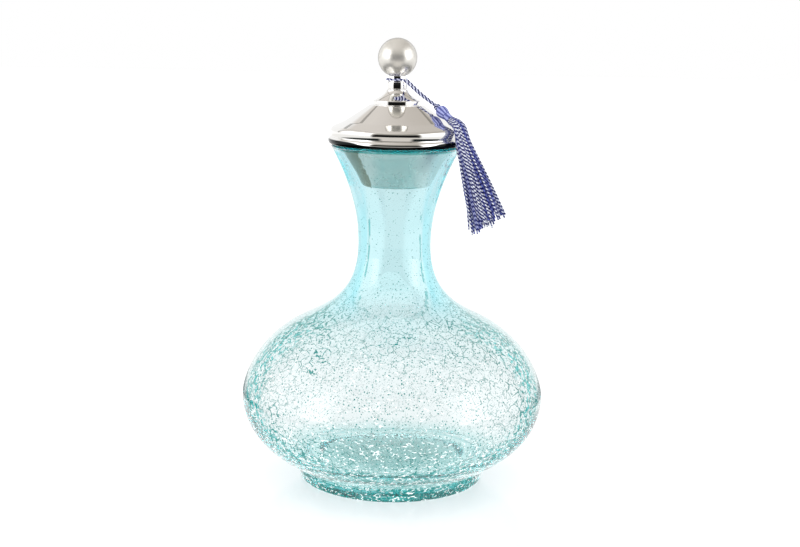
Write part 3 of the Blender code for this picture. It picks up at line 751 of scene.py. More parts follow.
def make_knot():
    """A tight coil of the same cord round a core."""
    route = []
    for i in range(POINTS_PER_KNOT):
        share = i / (POINTS_PER_KNOT - 1)
        along = KNOT_COIL_START + KNOT_COIL_LENGTH * share
        aside = KNOT_COIL_RADIUS + KNOT_COIL_SWELL * math.sin(math.pi * share)
        route.append(on_head(along, aside, math.tau * KNOT_TURNS * share))
    tubes = Tubes()
    add_plies(tubes, route, KNOT_PLY_OFFSET, KNOT_PLY_RADIUS, KNOT_PITCH)
    core = [on_head(along * MM) for along, _ in KNOT_CORE]
    tubes.add(core, [radius * MM for _, radius in KNOT_CORE], CORE_SIDES)
    return tubes.object("knot")


def thread_bundle(name, stations, count, ridge, seed):
    """A body of threads bound side by side, through these (along, radius) stations
    on the head's axis, with a ridge for each thread."""
    rng = random.Random(seed)
    weights = [rng.uniform(*RIDGE_WEIGHTS) for _ in range(count)]
    sides = count * SIDES_PER_THREAD
    rings = []
    for along, radius in stations:
        ring = []
        for k in range(sides):
            thread, part = divmod(k, SIDES_PER_THREAD)
            rise = ridge * weights[thread] * math.sin(math.pi * part / SIDES_PER_THREAD)
            drift = THREAD_DRIFT * math.sin(along / DRIFT_LENGTH + thread)
            aside = max(radius + rise - ridge, LEAST_BUNDLE_RADIUS)
            ring.append(on_head(along, aside, math.tau * (k + drift) / sides))
        rings.append(ring)
    bundle = Tubes()
    bundle.add_rings(rings, [along for along, _ in stations], SIDES_PER_THREAD, tone=0.0)
    return bundle.object(name)


def make_head():
    """The bulb: round where the cord enters, drawn in where it is bound."""
    bulb = through([
        (Vector((BINDING_RADIUS, -HEAD_LENGTH)), HEAD_WAIST_ANGLE, 0.0, HEAD_WAIST_KEEP),
        (Vector((HEAD_RADIUS, -HEAD_CROWN)), 90, *HEAD_SIDE_KEEP),
        (Vector((HEAD_TOP_RADIUS, 0)), 180, HEAD_TOP_KEEP, 0.0),
    ], POINTS_PER_BULB)
    stations = [(KNOT_LENGTH + GAP - point.y, point.x) for point in reversed(bulb)]
    return thread_bundle("head", stations, HEAD_THREADS, HEAD_RIDGE, HEAD_SEED)


def make_binding():
    """The band under the bulb, pinched where the thread is tied."""
    start = KNOT_LENGTH + HEAD_LENGTH + 2 * GAP
    stations = []
    for i in range(POINTS_PER_BINDING):
        share = i / (POINTS_PER_BINDING - 1)
        pinch = math.exp(-(((share - BINDING_PINCH_AT) / BINDING_PINCH_WIDTH) ** 2))
        waist = math.sin(math.pi * share)
        drawn_in = BINDING_SLACK + BINDING_PINCH * pinch + BINDING_WAIST * waist
        stations.append((start + BINDING_LENGTH * share, BINDING_RADIUS - drawn_in))
    return thread_bundle("binding", stations, BINDING_THREADS, BINDING_RIDGE, BINDING_SEED)


def skirt_stops():
    """(middle, radius) of the skirt: under the binding, over the cover's shoulder,
    beside the bead, and down to its tips."""
    axis = head_direction()
    start = on_head(KNOT_LENGTH + HEAD_LENGTH + BINDING_LENGTH + 3 * GAP)
    lift = heading_vector(SHOULDER_ANGLE_OF_SKIRT) * (SKIRT_RADIUS_ON_SHOULDER + GAP)
    shoulder = Vector((COVER_WALL_RADIUS, COVER_SHOULDER_HEIGHT)) + lift
    beside = BRIM_RADIUS + GAP + SKIRT_RADIUS_AT_BRIM
    over = polar(shoulder.x, SHOULDER_AZIMUTH, SEAT_HEIGHT + shoulder.y)
    brim = polar(beside, BRIM_AZIMUTH, SEAT_HEIGHT + BEAD_CENTRE.y)
    lean = math.radians(SKIRT_LEAN)
    fall = polar(math.sin(lean), SKIRT_LEAN_AZIMUTH, -math.cos(lean))
    length = SKIRT_LENGTH - (over - start).length - (brim - over).length
    return [
        (start, BINDING_RADIUS - SKIRT_TOP_INSET),
        (start + axis * SKIRT_BACKING, BINDING_RADIUS),
        (over, SKIRT_RADIUS_ON_SHOULDER),
        (brim, SKIRT_RADIUS_AT_BRIM),
        (brim + fall * length / 2, (SKIRT_RADIUS_AT_BRIM + SKIRT_RADIUS_AT_TIPS) / 2),
        (brim + fall * length, SKIRT_RADIUS_AT_TIPS),
    ]


def skirt_sections():
    """Middle, the two directions across, and radius at each stop."""
    stops = skirt_stops()
    places = [place for place, _ in stops]
    sections = []
    for i, (place, radius) in enumerate(stops):
        ahead = (places[min(i + 1, len(places) - 1)] - places[max(i - 1, 0)]).normalized()
        side = ahead.cross(Vector((0, 0, 1))).normalized()
        sections.append((place, side, ahead.cross(side), radius))
    return sections


def on_spiral(index, count, turn):
    """The place of one of count spots spread evenly over a disc of radius 1."""
    share = math.sqrt((index + 0.5) / count)
    return Vector((math.cos(turn * index), math.sin(turn * index))) * share


def strand_line(spot, clump, wander, sections):
    """A strand's places at the stops: its own spot across the skirt, drawn toward
    its clump and wandering a little, more so toward the tips."""
    line = []
    for i, (middle, side, across_side, radius) in enumerate(sections):
        loose = Vector((wander[i], wander[len(wander) - 1 - i])) * LOOSE_AT_STOPS[i]
        place = spot.lerp(clump, DRAWN_AT_STOPS[i]) * SKIRT_FILL + loose
        line.append(middle + (side * place.x + across_side * place.y) * radius)
    beyond = line[-1] + (line[-1] - line[-2]) * STRAND_OVERSHOOT
    return [*line, beyond]


def make_skirt():
    rng = random.Random(SKIRT_SEED)
    sections = skirt_sections()
    golden_turn = math.pi * (3 - math.sqrt(5))
    clumps = [on_spiral(k, CLUMPS, CLUMP_TURN) for k in range(CLUMPS)]
    tubes = Tubes()
    for index in range(STRANDS):
        spot = on_spiral(index, STRANDS, golden_turn)
        clump = min(clumps, key=lambda place: (place - spot).length)
        wander = [rng.uniform(-1, 1) for _ in sections]
        length = STRAND_LENGTH * (1 + rng.uniform(*STRAND_UNEVENNESS))
        line = smooth(strand_line(spot, clump, wander, sections), POINTS_PER_STRAND_SPAN)
        points, _ = evenly(line, STRAND_POINT_SPACING)
        points = points[: round(length / STRAND_POINT_SPACING)]
        thick = STRAND_RADIUS * rng.uniform(*STRAND_RADIUS_RANGE)
        radii = [
            thick * min(1.0, 1 - STRAND_TAPER + STRAND_TAPER * i / STRAND_TAPER_POINTS)
            for i in range(len(points))
        ]
        tubes.add(points, radii, STRAND_SIDES, tone=rng.random())
    return tubes.object("skirt")


# Materials


class Nodes:
    """Short calls to build a node tree. A span is (low, high)."""

    def __init__(self, owner):
        owner.use_nodes = True
        self.owner = owner
        self.tree = owner.node_tree

    def new(self, kind, **settings):
        node = self.tree.nodes.new("ShaderNode" + kind)
        for key, value in settings.items():
            setattr(node, key, value)
        return node

    def put(self, socket, value):
        if isinstance(value, bpy.types.NodeSocket):
            self.tree.links.new(value, socket)
        elif hasattr(socket.default_value, "__len__") and len(socket.default_value) == 4:
            socket.default_value = (*value, 1.0)
        else:
            socket.default_value = value

    def axes(self, vector):
        node = self.new("SeparateXYZ")
        self.put(node.inputs[0], vector)
        return node.outputs

    def vector_math(self, operation, *values):
        node = self.new("VectorMath", operation=operation)
        for socket, value in zip(node.inputs, values):
            self.put(socket, value)
        return node.outputs["Value" if operation in ("LENGTH", "DOT_PRODUCT") else "Vector"]

    def scaled(self, vector, scale):
        return self.vector_math("MULTIPLY", vector, scale)

    def length(self, vector):
        return self.vector_math("LENGTH", vector)

    def math(self, operation, *values, clamp=False):
        node = self.new("Math", operation=operation, use_clamp=clamp)
        for socket, value in zip(node.inputs, values):
            self.put(socket, value)
        return node.outputs[0]

    def add(self, a, b):
        return self.math("ADD", a, b)

    def less(self, a, b, clamp=False):
        return self.math("SUBTRACT", a, b, clamp=clamp)

    def unless(self, share):
        return self.math("SUBTRACT", 1.0, share)

    def size(self, value):
        return self.math("ABSOLUTE", value)

    def most(self, a, b):
        return self.math("MAXIMUM", a, b)

    def near(self, value, middle, reach):
        return self.math("COMPARE", value, middle, reach)

    def times(self, first, *others):
        for other in others:
            first = self.math("MULTIPLY", first, other)
        return first

    def around(self, x, y):
        """The angle round +Z, 0 toward the camera and positive to the right."""
        return self.math("ARCTAN2", x, self.times(y, -1.0))

    def rise(self, value, span, low=0.0, high=1.0):
        """Goes smoothly from low to high over the span."""
        node = self.new("MapRange", interpolation_type="SMOOTHSTEP")
        for socket, item in zip(node.inputs, (value, *span, low, high)):
            self.put(socket, item)
        return node.outputs[0]

    def fall(self, value, span):
        return self.rise(value, span, 1.0, 0.0)

    def mix(self, share, a, b):
        node = self.new("Mix", data_type="RGBA")
        for index, item in ((0, share), (6, a), (7, b)):
            self.put(node.inputs[index], item)
        return node.outputs[2]

    def noise(self, vector, scale, detail=2.0, roughness=0.5, output="Fac"):
        node = self.new("TexNoise")
        values = (("Vector", vector), ("Scale", scale), ("Detail", detail), ("Roughness", roughness))
        for name, value in values:
            self.put(node.inputs[name], value)
        return node.outputs[output]

    def cells(self, vector, scale, feature="F1"):
        node = self.new("TexVoronoi", feature=feature)
        self.put(node.inputs["Vector"], vector)
        self.put(node.inputs["Scale"], scale)
        return node.outputs

    def cell_edge(self, vector, scale):
        return self.cells(vector, scale, "DISTANCE_TO_EDGE")["Distance"]

    def facing(self):
        """From 0 where the surface is seen straight on to 1 at its outline."""
        node = self.new("LayerWeight")
        self.put(node.inputs["Blend"], 0.5)
        return node.outputs["Facing"]

    def warped(self, vector, scale, reach):
        """The place shifted at random, so that straight cell edges turn wavy."""
        shift = self.noise(vector, scale, 1.0, output="Color")
        return self.vector_math("MULTIPLY_ADD", shift, (reach,) * 3, vector)

    def bump(self, height, strength, distance):
        node = self.new("Bump")
        for name, value in (("Strength", strength), ("Distance", distance), ("Height", height)):
            self.put(node.inputs[name], value)
        return node.outputs[0]

    def finish(self, **values):
        """Sets the shader's sockets and returns the material."""
        shader = self.tree.nodes["Principled BSDF"]
        for key, value in values.items():
            self.put(shader.inputs[key.replace("_", " ")], value)
        return self.owner

    def surface(self, shader):
        self.tree.links.new(shader, self.tree.nodes["Material Output"].inputs["Surface"])

    def volume(self, shader):
        self.tree.links.new(shader, self.tree.nodes["Material Output"].inputs["Volume"])


# Crackle glass. The heights between which its looks change
SOLE = (1.5 * MM, 3.5 * MM)
HOLLOW = (5.0 * MM, 6.0 * MM)
FOOT = (8.5 * MM, 14.0 * MM)
BOTTOM = (10.0 * MM, 18.0 * MM)
OVER_HOLLOW = (12.0 * MM, 13.0 * MM)
HEEL = (14.5 * MM, 22.0 * MM)
FOOT_SEEN_FROM_WITHIN = (14.0 * MM, 30.0 * MM)
LOW_BELLY = (28.0 * MM, 60.0 * MM)
PALE_DOTS_END = (40.0 * MM, 60.0 * MM)
MANY_WHITES_END = (40.0 * MM, 65.0 * MM)
WHITES_END = (90.0 * MM, 110.0 * MM)
FLECKS_END = (100.0 * MM, 120.0 * MM)
NET_END = (105.0 * MM, 135.0 * MM)
DOTS_THIN_OUT = (110.0 * MM, 170.0 * MM)
DOTS_SHRINK = (100.0 * MM, 150.0 * MM)
SHOULDER = (75.0 * MM, 125.0 * MM)
NECK = (105.0 * MM, 130.0 * MM)
MOUTH = (170.0 * MM, 200.0 * MM)
STREAKS_END = (178.0 * MM, 190.0 * MM)
LIP = (217.0 * MM, 218.2 * MM)

# Crackle glass, the distances from its axis between which the bottom clears
HOLLOW_CLEARS = (22.0 * MM, 58.0 * MM)
HEEL_CLEARS = (20.0 * MM, 46.0 * MM)

# Crackle glass, its patterns, in cells or waves to the metre. A warp is (waves,
# reach), and cracks, dots and joints are in shares of a cell
NET_CELLS = 160.0
NET_WARP = (150.0, 4.2 * MM)
NET_CRACK = (0.033, 0.048)
DOT_CELLS = 640.0
DOT_RADIUS = (0.30, 0.35)
BRICK_CELLS = 300.0
BRICK_WARP = (250.0, 2.0 * MM)
BRICK_FLATNESS = 1.9
BRICK_JOINT = (0.08, 0.14)
STROKE_WAVES = 330.0
STROKE_JOINT = (0.055, 0.095)
PATCH_WAVES = 32.0
STREAK_WAVES = 320.0
STREAK_LENGTHENING = 0.25
RIPPLE_WAVES = 45.0

# Crackle glass, its colours
CLEAR_TINT = (1.0, 1.0, 1.0)
UPPER_TINT = (0.86, 0.985, 1.0)
LOW_TINT = (0.64, 0.88, 0.87)
BOTTOM_TINT = (0.72, 0.91, 0.905)
LIP_TINT = (0.06, 0.50, 0.47)
FOOT_TINT = (0.02, 0.43, 0.40)
RIM_TINT = (0.60, 0.90, 0.90)
OUTLINE_TINT = (0.84, 0.95, 0.95)
FLECK_TINT = (0.03, 0.50, 0.48)
NECK_SIDE_TINT = (0.36, 0.87, 0.98)
MOUTH_SIDE_TINT = (0.66, 0.93, 1.0)
STREAK_TINT = (0.10, 0.42, 0.42)
SOLE_TINT = (0.02, 0.36, 0.34)
HOLLOW_TINT = (0.42, 0.78, 0.76)
HEEL_TINT = (0.62, 0.90, 0.88)
CRACK_TINT = (0.0, 0.27, 0.25)
FOOT_CRACK_TINT = (0.0, 0.28, 0.26)
WHITE_TINT = (0.95, 1.0, 1.0)
DEPTH_COLOUR = (0.0, 0.88, 0.93)
DEPTH_DENSITY = 9.0

# Crackle glass, how far its layers take away its clearness
HOLLOW_CLOUDING = 0.55
HEEL_CLOUDING = 0.30
DARK_CLOUDING = 0.80
WHITE_CLOUDING = 0.90


class CrackleGlass(Nodes):
    """Clear aqua glass. Its outer side is crazed: a net of fine wavy cracks, dots
    between them, white cracks low down, and a foot that is crazed all over."""

    def __init__(self):
        super().__init__(bpy.data.materials.new("crackle_glass"))
        self.place = self.new("TexCoord").outputs["Object"]
        self.height = self.axes(self.place)[2]
        self.off_axis = self.length(self.scaled(self.place, (1.0, 1.0, 0.0)))
        self.facing_away = self.facing()
        self.outside = self.new("Attribute", attribute_name="outside").outputs["Fac"]
        self.within = self.new("NewGeometry").outputs["Backfacing"]
        self.outer_only = self.less(self.outside, self.within, clamp=True)
        self.on_foot = self.times(self.fall(self.height, FOOT), self.unless(self.within))
        self.gaps = self.noise(self.place, STROKE_WAVES, 1.0)
        self.patch = self.noise(self.place, PATCH_WAVES, 1.0)
        flat = self.scaled(self.warped(self.place, *BRICK_WARP), (1.0, 1.0, BRICK_FLATNESS))
        self.strokes = self.noise(flat, STROKE_WAVES, 1.0)
        self.joint = self.cell_edge(flat, BRICK_CELLS)
        self.brick = self.axes(self.cells(flat, BRICK_CELLS)["Color"])[0]

    def net(self):
        """Fine cracks with gaps in them, wider toward the outline, fainter in patches."""
        edge = self.cell_edge(self.warped(self.place, *NET_WARP), NET_CELLS)
        edge = self.times(edge, self.rise(self.facing_away, (0.1, 0.8), 1.6, 0.28))
        gaps = self.less(self.gaps, self.rise(self.facing_away, (0.05, 0.35), 0.07, 0.0))
        return self.times(
            self.fall(edge, NET_CRACK),
            self.rise(gaps, (0.40, 0.45)),
            self.rise(self.facing_away, (0.05, 0.30), 0.45, 1.0),
            self.rise(self.patch, (0.35, 0.60), 0.60, 1.0),
            self.fall(self.height, NET_END),
        )

    def dots(self):
        """Dots of uneven strength, fewer and finer up the neck."""
        spots = self.cells(self.place, DOT_CELLS)
        strength, lot, _ = self.axes(spots["Color"])
        spread = self.times(
            spots["Distance"],
            self.rise(self.facing_away, (0.2, 0.9), 1.10, 0.62),
            self.rise(self.height, DOTS_SHRINK, 1.0, 1.35),
        )
        weakest = self.rise(self.height, PALE_DOTS_END, 0.70, 0.50)
        return self.times(
            self.fall(spread, DOT_RADIUS),
            self.rise(strength, (0.0, 1.0), weakest, 1.0),
            self.math("GREATER_THAN", lot, self.rise(self.height, DOTS_THIN_OUT, 0.18, 0.78)),
        )

    def white_cracks(self):
        """Cracks that catch the light, in short pieces, on the lower half."""
        least = self.less(
            self.rise(self.height, MANY_WHITES_END, 0.56, 0.63),
            self.rise(self.facing_away, (0.45, 0.75), 0.0, 0.05),
        )
        return self.times(
            self.rise(self.less(self.strokes, least), (0.0, 0.03)),
            self.fall(self.joint, STROKE_JOINT),
            self.fall(self.height, WHITES_END),
            self.outer_only,
        )

    def dark_cracks(self):
        """Net, dots and the dark flat grains of the foot, fainter seen from within."""
        grains = self.times(
            self.fall(self.brick, (0.40, 0.55)), self.on_foot, self.rise(self.joint, BRICK_JOINT)
        )
        faint = self.times(self.within, self.rise(self.height, FOOT_SEEN_FROM_WITHIN, 1.0, 0.65))
        return self.times(
            self.most(self.most(self.net(), self.dots()), grains),
            self.less(self.outside, faint, clamp=True),
            self.rise(self.facing_away, (0.74, 0.84), 1.0, 0.25),
        )

    def under_hollow(self):
        """The hollow under the foot, clearing away from the middle."""
        return self.times(
            self.fall(self.height, HOLLOW),
            self.unless(self.outside),
            self.fall(self.off_axis, HOLLOW_CLEARS),
        )

    def heel(self):
        """The inner floor, clearing toward its edge."""
        return self.times(
            self.fall(self.height, HEEL),
            self.rise(self.height, OVER_HOLLOW),
            self.unless(self.outside),
            self.rise(self.off_axis, HEEL_CLEARS, 1.0, 0.25),
        )

    def body_tint(self):
        """The glass's own colour: bluer up the neck, teal toward foot and outline."""
        tint = self.mix(self.rise(self.height, SHOULDER), CLEAR_TINT, UPPER_TINT)
        low = self.times(self.fall(self.height, LOW_BELLY), self.less(self.outside, self.within))
        tint = self.mix(self.most(low, 0.0), tint, LOW_TINT)
        tint = self.mix(self.fall(self.height, BOTTOM), tint, BOTTOM_TINT)
        tint = self.mix(self.rise(self.height, LIP), tint, LIP_TINT)
        teal = self.times(self.on_foot, self.rise(self.patch, (0.3, 0.7), 0.5, 1.0), self.outside)
        tint = self.mix(teal, tint, FOOT_TINT)
        rim = self.times(self.rise(self.facing_away, (0.45, 0.85)), self.outside)
        outline = self.rise(self.facing_away, (0.73, 0.82))
        tint = self.mix(rim, tint, self.mix(outline, RIM_TINT, OUTLINE_TINT))
        flecks = self.times(
            self.rise(self.facing_away, (0.42, 0.58)),
            self.rise(self.gaps, (0.50, 0.58)),
            self.unless(outline),
            self.fall(self.height, FLECKS_END),
            self.outer_only,
        )
        return self.mix(flecks, tint, FLECK_TINT)

    def neck_tint(self, tint):
        """The thick sides of the neck, each with a broken dark streak inside it."""
        on_neck = self.times(self.rise(self.height, NECK), self.outside)
        sides = self.times(self.rise(self.facing_away, (0.28, 0.40)), on_neck)
        side_tint = self.mix(self.rise(self.height, MOUTH), NECK_SIDE_TINT, MOUTH_SIDE_TINT)
        tint = self.mix(sides, tint, side_tint)
        tall = self.scaled(self.place, (1.0, 1.0, STREAK_LENGTHENING))
        streaks = self.times(
            self.near(self.facing_away, 0.30, 0.022),
            self.rise(self.noise(tall, STREAK_WAVES, 3.0), (0.46, 0.52)),
            self.fall(self.height, STREAKS_END),
            on_neck,
        )
        return self.mix(streaks, tint, STREAK_TINT)

    def absorb(self):
        node = self.new("VolumeAbsorption")
        self.put(node.inputs["Color"], DEPTH_COLOUR)
        self.put(node.inputs["Density"], DEPTH_DENSITY)
        self.volume(node.outputs[0])

    def build(self):
        sole = self.times(self.fall(self.height, SOLE), self.outer_only)
        dark_tint = self.mix(self.on_foot, CRACK_TINT, FOOT_CRACK_TINT)
        white = self.white_cracks()
        layers = (
            (sole, SOLE_TINT, 0.0),
            (self.under_hollow(), HOLLOW_TINT, HOLLOW_CLOUDING),
            (self.heel(), HEEL_TINT, HEEL_CLOUDING),
            (self.dark_cracks(), dark_tint, DARK_CLOUDING),
            (white, WHITE_TINT, WHITE_CLOUDING),
        )
        tint = self.neck_tint(self.body_tint())
        clear = 1.0
        for share, colour, clouding in layers:
            tint = self.mix(share, tint, colour)
            clear = self.math("MULTIPLY_ADD", share, -clouding, clear)
        ripple = self.times(self.noise(self.place, RIPPLE_WAVES, 1.0), 1.5)
        relief = self.math("MULTIPLY_ADD", self.strokes, self.on_foot, ripple)
        self.absorb()
        return self.finish(
            Base_Color=tint,
            Roughness=0.0,
            IOR=1.5,
            Transmission_Weight=self.most(clear, 0.0),
            # Painted glow: the white cracks give off light.
            Emission_Color=self.mix(white, (0.0, 0.0, 0.0), WHITE_TINT),
            Emission_Strength=0.40,
            Normal=self.bump(relief, 0.2, 0.1 * MM),
        )


# Metal
NICKEL = (0.93, 0.92, 0.90)
DULL_NICKEL = (0.70, 0.71, 0.68)
SATIN_NICKEL = (0.84, 0.82, 0.77)
# Painted shade toward the ball's outline
SATIN_PAINTED_OUTLINE_SHADE = (0.36, 0.35, 0.32)
STEEL = (0.55, 0.55, 0.56)
# Painted shade and painted dark reflection on the bead's lower half
BEAD_PAINTED_SHADE = (0.012, 0.014, 0.014)
# Painted reflections on the plug
OLIVE_PAINTED_REFLECTION = (0.20, 0.20, 0.13)
PALE_PAINTED_REFLECTION = (0.80, 0.82, 0.80)
# Heights of the bead's painted shade, and how much higher it reaches at the sides
BEAD_PAINTED_SHADE_SPAN = (1.8 * MM, 2.5 * MM)
BEAD_PAINTED_SHADE_RISE = 1.7 * MM
SATIN_FROM = (8.2 * MM, 9.7 * MM)
SPINNING_LINES = 60.0
SPINNING_STRETCH = 14.0
HAZE_WAVES = 55.0


class Metal(Nodes):
    """Spun or turned metal, with fine lines round its axis and a light haze."""

    def __init__(self, name, colour, roughness):
        super().__init__(bpy.data.materials.new(name))
        place = self.new("TexCoord").outputs["Object"]
        self.haze = self.noise(place, HAZE_WAVES, 4.0, 0.6)
        self.shade = self.mix(self.haze, colour, tuple(c * 0.94 for c in colour))
        self.gloss = self.rise(self.haze, (0.35, 0.75), roughness * 0.7, roughness * 1.5)
        self.metallic = 1.0
        self.lines = self.noise(
            self.scaled(place, (1.0, 1.0, SPINNING_STRETCH)), SPINNING_LINES, 3.0, 0.6
        )
        x, y, self.height = self.axes(place)
        self.angle = self.around(x, y)

    def build(self):
        return self.finish(
            Base_Color=self.shade,
            Metallic=self.metallic,
            Roughness=self.gloss,
            Normal=self.bump(self.lines, 0.03, 0.2 * MM),
        )


def beaded_nickel():
    """The cover's nickel. Painted shade and dark reflection blacken the lower half of its bead,
    higher up at the sides.
    """
    n = Metal("beaded_nickel", NICKEL, 0.04)
    # Painted shade and painted dark reflection: the bead's lower half turns black, higher up at the
    # sides.
    sides = n.rise(n.size(n.angle), (0.35, 0.80), 0.0, BEAD_PAINTED_SHADE_RISE)
    span = [SEAT_HEIGHT + height for height in BEAD_PAINTED_SHADE_SPAN]
    n.shade = n.mix(n.fall(n.less(n.height, sides), span), n.shade, BEAD_PAINTED_SHADE)
    return n.build()


def dull_nickel():
    """The plug's duller nickel, with painted reflections: olive on its left and paler on its right.
    """
    n = Metal("dull_nickel", DULL_NICKEL, 0.26)
    # Painted reflections: an olive patch on the left, paler toward the right.
    wavy = n.math("MULTIPLY_ADD", n.haze, 0.5, n.angle)
    n.shade = n.mix(n.times(n.near(wavy, -0.62, 0.20), 0.85), n.shade, OLIVE_PAINTED_REFLECTION)
    n.shade = n.mix(n.rise(wavy, (0.3, 1.2), 0.0, 0.8), n.shade, PALE_PAINTED_REFLECTION)
    return n.build()


def satin_nickel():
    """Polished on the neck and collar, satin on the ball, with painted shade darkening it toward its
    outline.
    """
    n = Metal("satin_nickel", NICKEL, 0.04)
    satin = n.rise(n.height, [SEAT_HEIGHT + KNOB_BASE_HEIGHT + height for height in SATIN_FROM])
    n.gloss = n.math("MULTIPLY_ADD", satin, 0.26, n.gloss)
    n.metallic = n.math("MULTIPLY_ADD", satin, -0.32, 1.0)
    n.shade = n.mix(satin, n.shade, SATIN_NICKEL)
    # Painted shade: the ball darkens toward its outline.
    n.shade = n.mix(n.times(n.rise(n.facing(), (0.55, 0.92)), satin), n.shade, SATIN_PAINTED_OUTLINE_SHADE)
    return n.build()


# Thread
# Painted shade and painted highlight of the cord's two plies
CORD_PAINTED_SHADE = (0.010, 0.014, 0.120)
CORD_PAINTED_HIGHLIGHT = (0.74, 0.78, 1.0)
HEAD_PAINTED_SHADE = (0.09, 0.11, 0.38)
HEAD_PAINTED_SHEEN = (0.46, 0.50, 0.88)
STRAND_PAINTED_SHADE = (0.010, 0.015, 0.160)
STRAND_PAINTED_HIGHLIGHT = (0.88, 0.91, 1.0)
STRAND_DULL_PAINTED_HIGHLIGHT = (0.14, 0.17, 0.54)
FIBRE_WAVES = 1500.0


class Thread(Nodes):
    """Silky thread, its plies painted in shade and highlight, with a faint painted glow."""

    def __init__(self, name):
        super().__init__(bpy.data.materials.new(name))
        self.fibre = self.noise(self.new("TexCoord").outputs["Object"], FIBRE_WAVES)
        self.tone = self.new("Attribute", attribute_name="tone").outputs["Fac"]

    def stripes(self, pitch, twist):
        """Plies as stripes slanted round the thread, finer or coarser with its tone."""
        along, around, _ = self.axes(self.new("UVMap", uv_map="thread").outputs[0])
        around = self.math("MULTIPLY_ADD", around, twist, self.tone)
        turn = self.math("MULTIPLY_ADD", along, 1.0 / pitch, around)
        turn = self.times(turn, self.math("MULTIPLY_ADD", self.tone, 0.3, 0.85))
        return self.size(self.math("SINE", self.times(turn, math.pi)))

    def build(self, dark, light, ply, span, glow, relief):
        shaded = self.new("HueSaturation")
        self.put(shaded.inputs["Value"], self.rise(self.fibre, (0.3, 0.7), 0.80, 1.15))
        self.put(shaded.inputs["Color"], self.mix(self.rise(ply, span), dark, light))
        return self.finish(
            Base_Color=shaded.outputs[0],
            Roughness=0.42,
            Specular_IOR_Level=0.25,
            # Painted glow: the thread gives off light in its own colour.
            Emission_Color=shaded.outputs[0],
            Emission_Strength=glow,
            Normal=self.bump(relief, 0.7, 0.3 * MM),
        )


def cord_thread():
    """The plies of cord and knot are tubes of their own, told apart by their tone: one is painted in
    shade, the other in highlight.
    """
    n = Thread("periwinkle_cord")
    return n.build(CORD_PAINTED_SHADE, CORD_PAINTED_HIGHLIGHT, n.tone, (0.30, 0.75), 0.15, n.fibre)


def head_thread():
    n = Thread("periwinkle_satin")
    # Lengthwise stripes of painted shade and painted sheen on the satin.
    ply = n.stripes(40 * MM, 0.5)
    return n.build(HEAD_PAINTED_SHADE, HEAD_PAINTED_SHEEN, ply, (0.35, 0.95), 0.15, ply)


def strand_thread():
    """Stripes of painted shade and painted highlight; by their tone, some strands have a bright
    highlight and others a dull one.
    """
    n = Thread("periwinkle_strands")
    ply = n.stripes(2.8 * MM, 1.0)
    # The light stripes are painted highlight, brighter on some strands than on others.
    light = n.mix(n.rise(n.tone, (0.15, 0.85)), STRAND_DULL_PAINTED_HIGHLIGHT, STRAND_PAINTED_HIGHLIGHT)
    return n.build(STRAND_PAINTED_SHADE, light, ply, (0.66, 0.82), 0.12, ply)


# Stage, the floor. Its spans are distances from the bottle, or angles round it,
# 0 toward the camera. Those of the card are slopes seen from the camera
FLOOR_REACH = 6.0
FLOOR_GRAIN_WAVES = 6.0
FLOOR_GRAIN = ((0.20, 0.21, 0.215), (0.215, 0.222, 0.225))
# Painted shadow round the foot in the floor's glow
PAINTED_SHADOW_AT_FOOT = (0.80, 0.86, 0.88)
GLOW = (0.97, 0.985, 1.0)
PAINTED_SHADOW_CLEARS = (0.055, 0.105)
BOUNCED_WHITE = (0.90, 0.90, 0.91)
TABLE_AHEAD = (0.68, 0.82)
TABLE_WHITE = (0.95, 0.945, 0.93)
TABLE_BEIGE = (0.70, 0.665, 0.62)
TABLE_FAR = (1.1, 1.1, 1.1)
TABLE_FADES = (1.0, 1.5)
TABLE_EDGE = (0.85, 1.0)
TABLE_EDGE_BLACK = (0.008, 0.008, 0.008)
STOPPER_SEES_FROM = (0.225, 0.240)
FLOOR_SEEN_BY_GLASS = (0.95, 0.96, 0.96)
# Painted shade on the floor beside the bottle, seen only in mirrors
BESIDE_REACH = (0.42, 0.56)
BESIDE_FROM = (0.4, 0.6)
BESIDE_TO = (2.5, 2.75)
BESIDE_PAINTED_SHADE = (0.015, 0.020, 0.020)
# Painted shade round the foot in the floor seen through glass
REFRACTED_PAINTED_SHADE_AT_FOOT = (0.66, 0.80, 0.80)
REFRACTED_WHITE = (0.985, 0.99, 0.995)
REFRACTED_PAINTED_SHADE_CLEARS = (0.055, 0.08)
CARD_FROM = 0.7
CARD_SLOPE = 0.0043
CARD_HALF_WIDTH = (0.035, 0.065)
CARD_GREY = (0.86, 0.87, 0.875)

# Stage, the studio. Its spans are angles round the bottle, 0 toward the camera. Its
# tops are heights, 1 straight up, and its ceiling turns from -1, left, to 1, right.
# A frame is (place, half width)
WHITE = (1.0, 1.0, 1.0)
AHEAD = (0.60, 0.85)
MIDDLE_TOP = (0.50, 0.80)
MIDDLE_GREY = (0.36, 0.35, 0.31)
COLUMN_TOP = (0.25, 0.42)
COLUMN_BLACK = (0.015, 0.015, 0.015)
CEILING_TURNS = (-0.6, 0.5)
CEILING_LEFT = (0.78, 0.74, 0.70)
CEILING_RIGHT = (0.56, 0.52, 0.475)
REAR_FROM = (1.9, 2.2)
REAR_TOP = (0.45, 0.60)
SOFT_BOX_FROM = (0.70, 0.85)
SOFT_BOX_TO = (1.75, 2.1)
SOFT_BOX_TOP = (0.55, 0.75)
SOFT_BOX_WHITE = (1.6, 1.6, 1.6)
LEFT_LAMP = -1.05
RIGHT_LAMP = 1.15
LAMP_HALF_WIDTH = (0.06, 0.30)
LAMP_TOP = (0.45, 0.65)
LAMP_WHITE = (4.0, 4.0, 4.0)
BOX_FRAME = (2.10, 0.05)
WINDOW_FRAME = (0.52, 0.025)
FRAME_SHADE = (0.10, 0.10, 0.085)
TOWARD_LIGHT = Vector((-0.45, -0.55, 0.70))
LIT_SPAN = (0.2, 0.95)
LIGHT_RANGE = (0.30, 2.6)
REFRACTED_SIDES = (1.02, 1.03, 1.03)
REFRACTED_MIDDLE = (0.90, 0.91, 0.91)


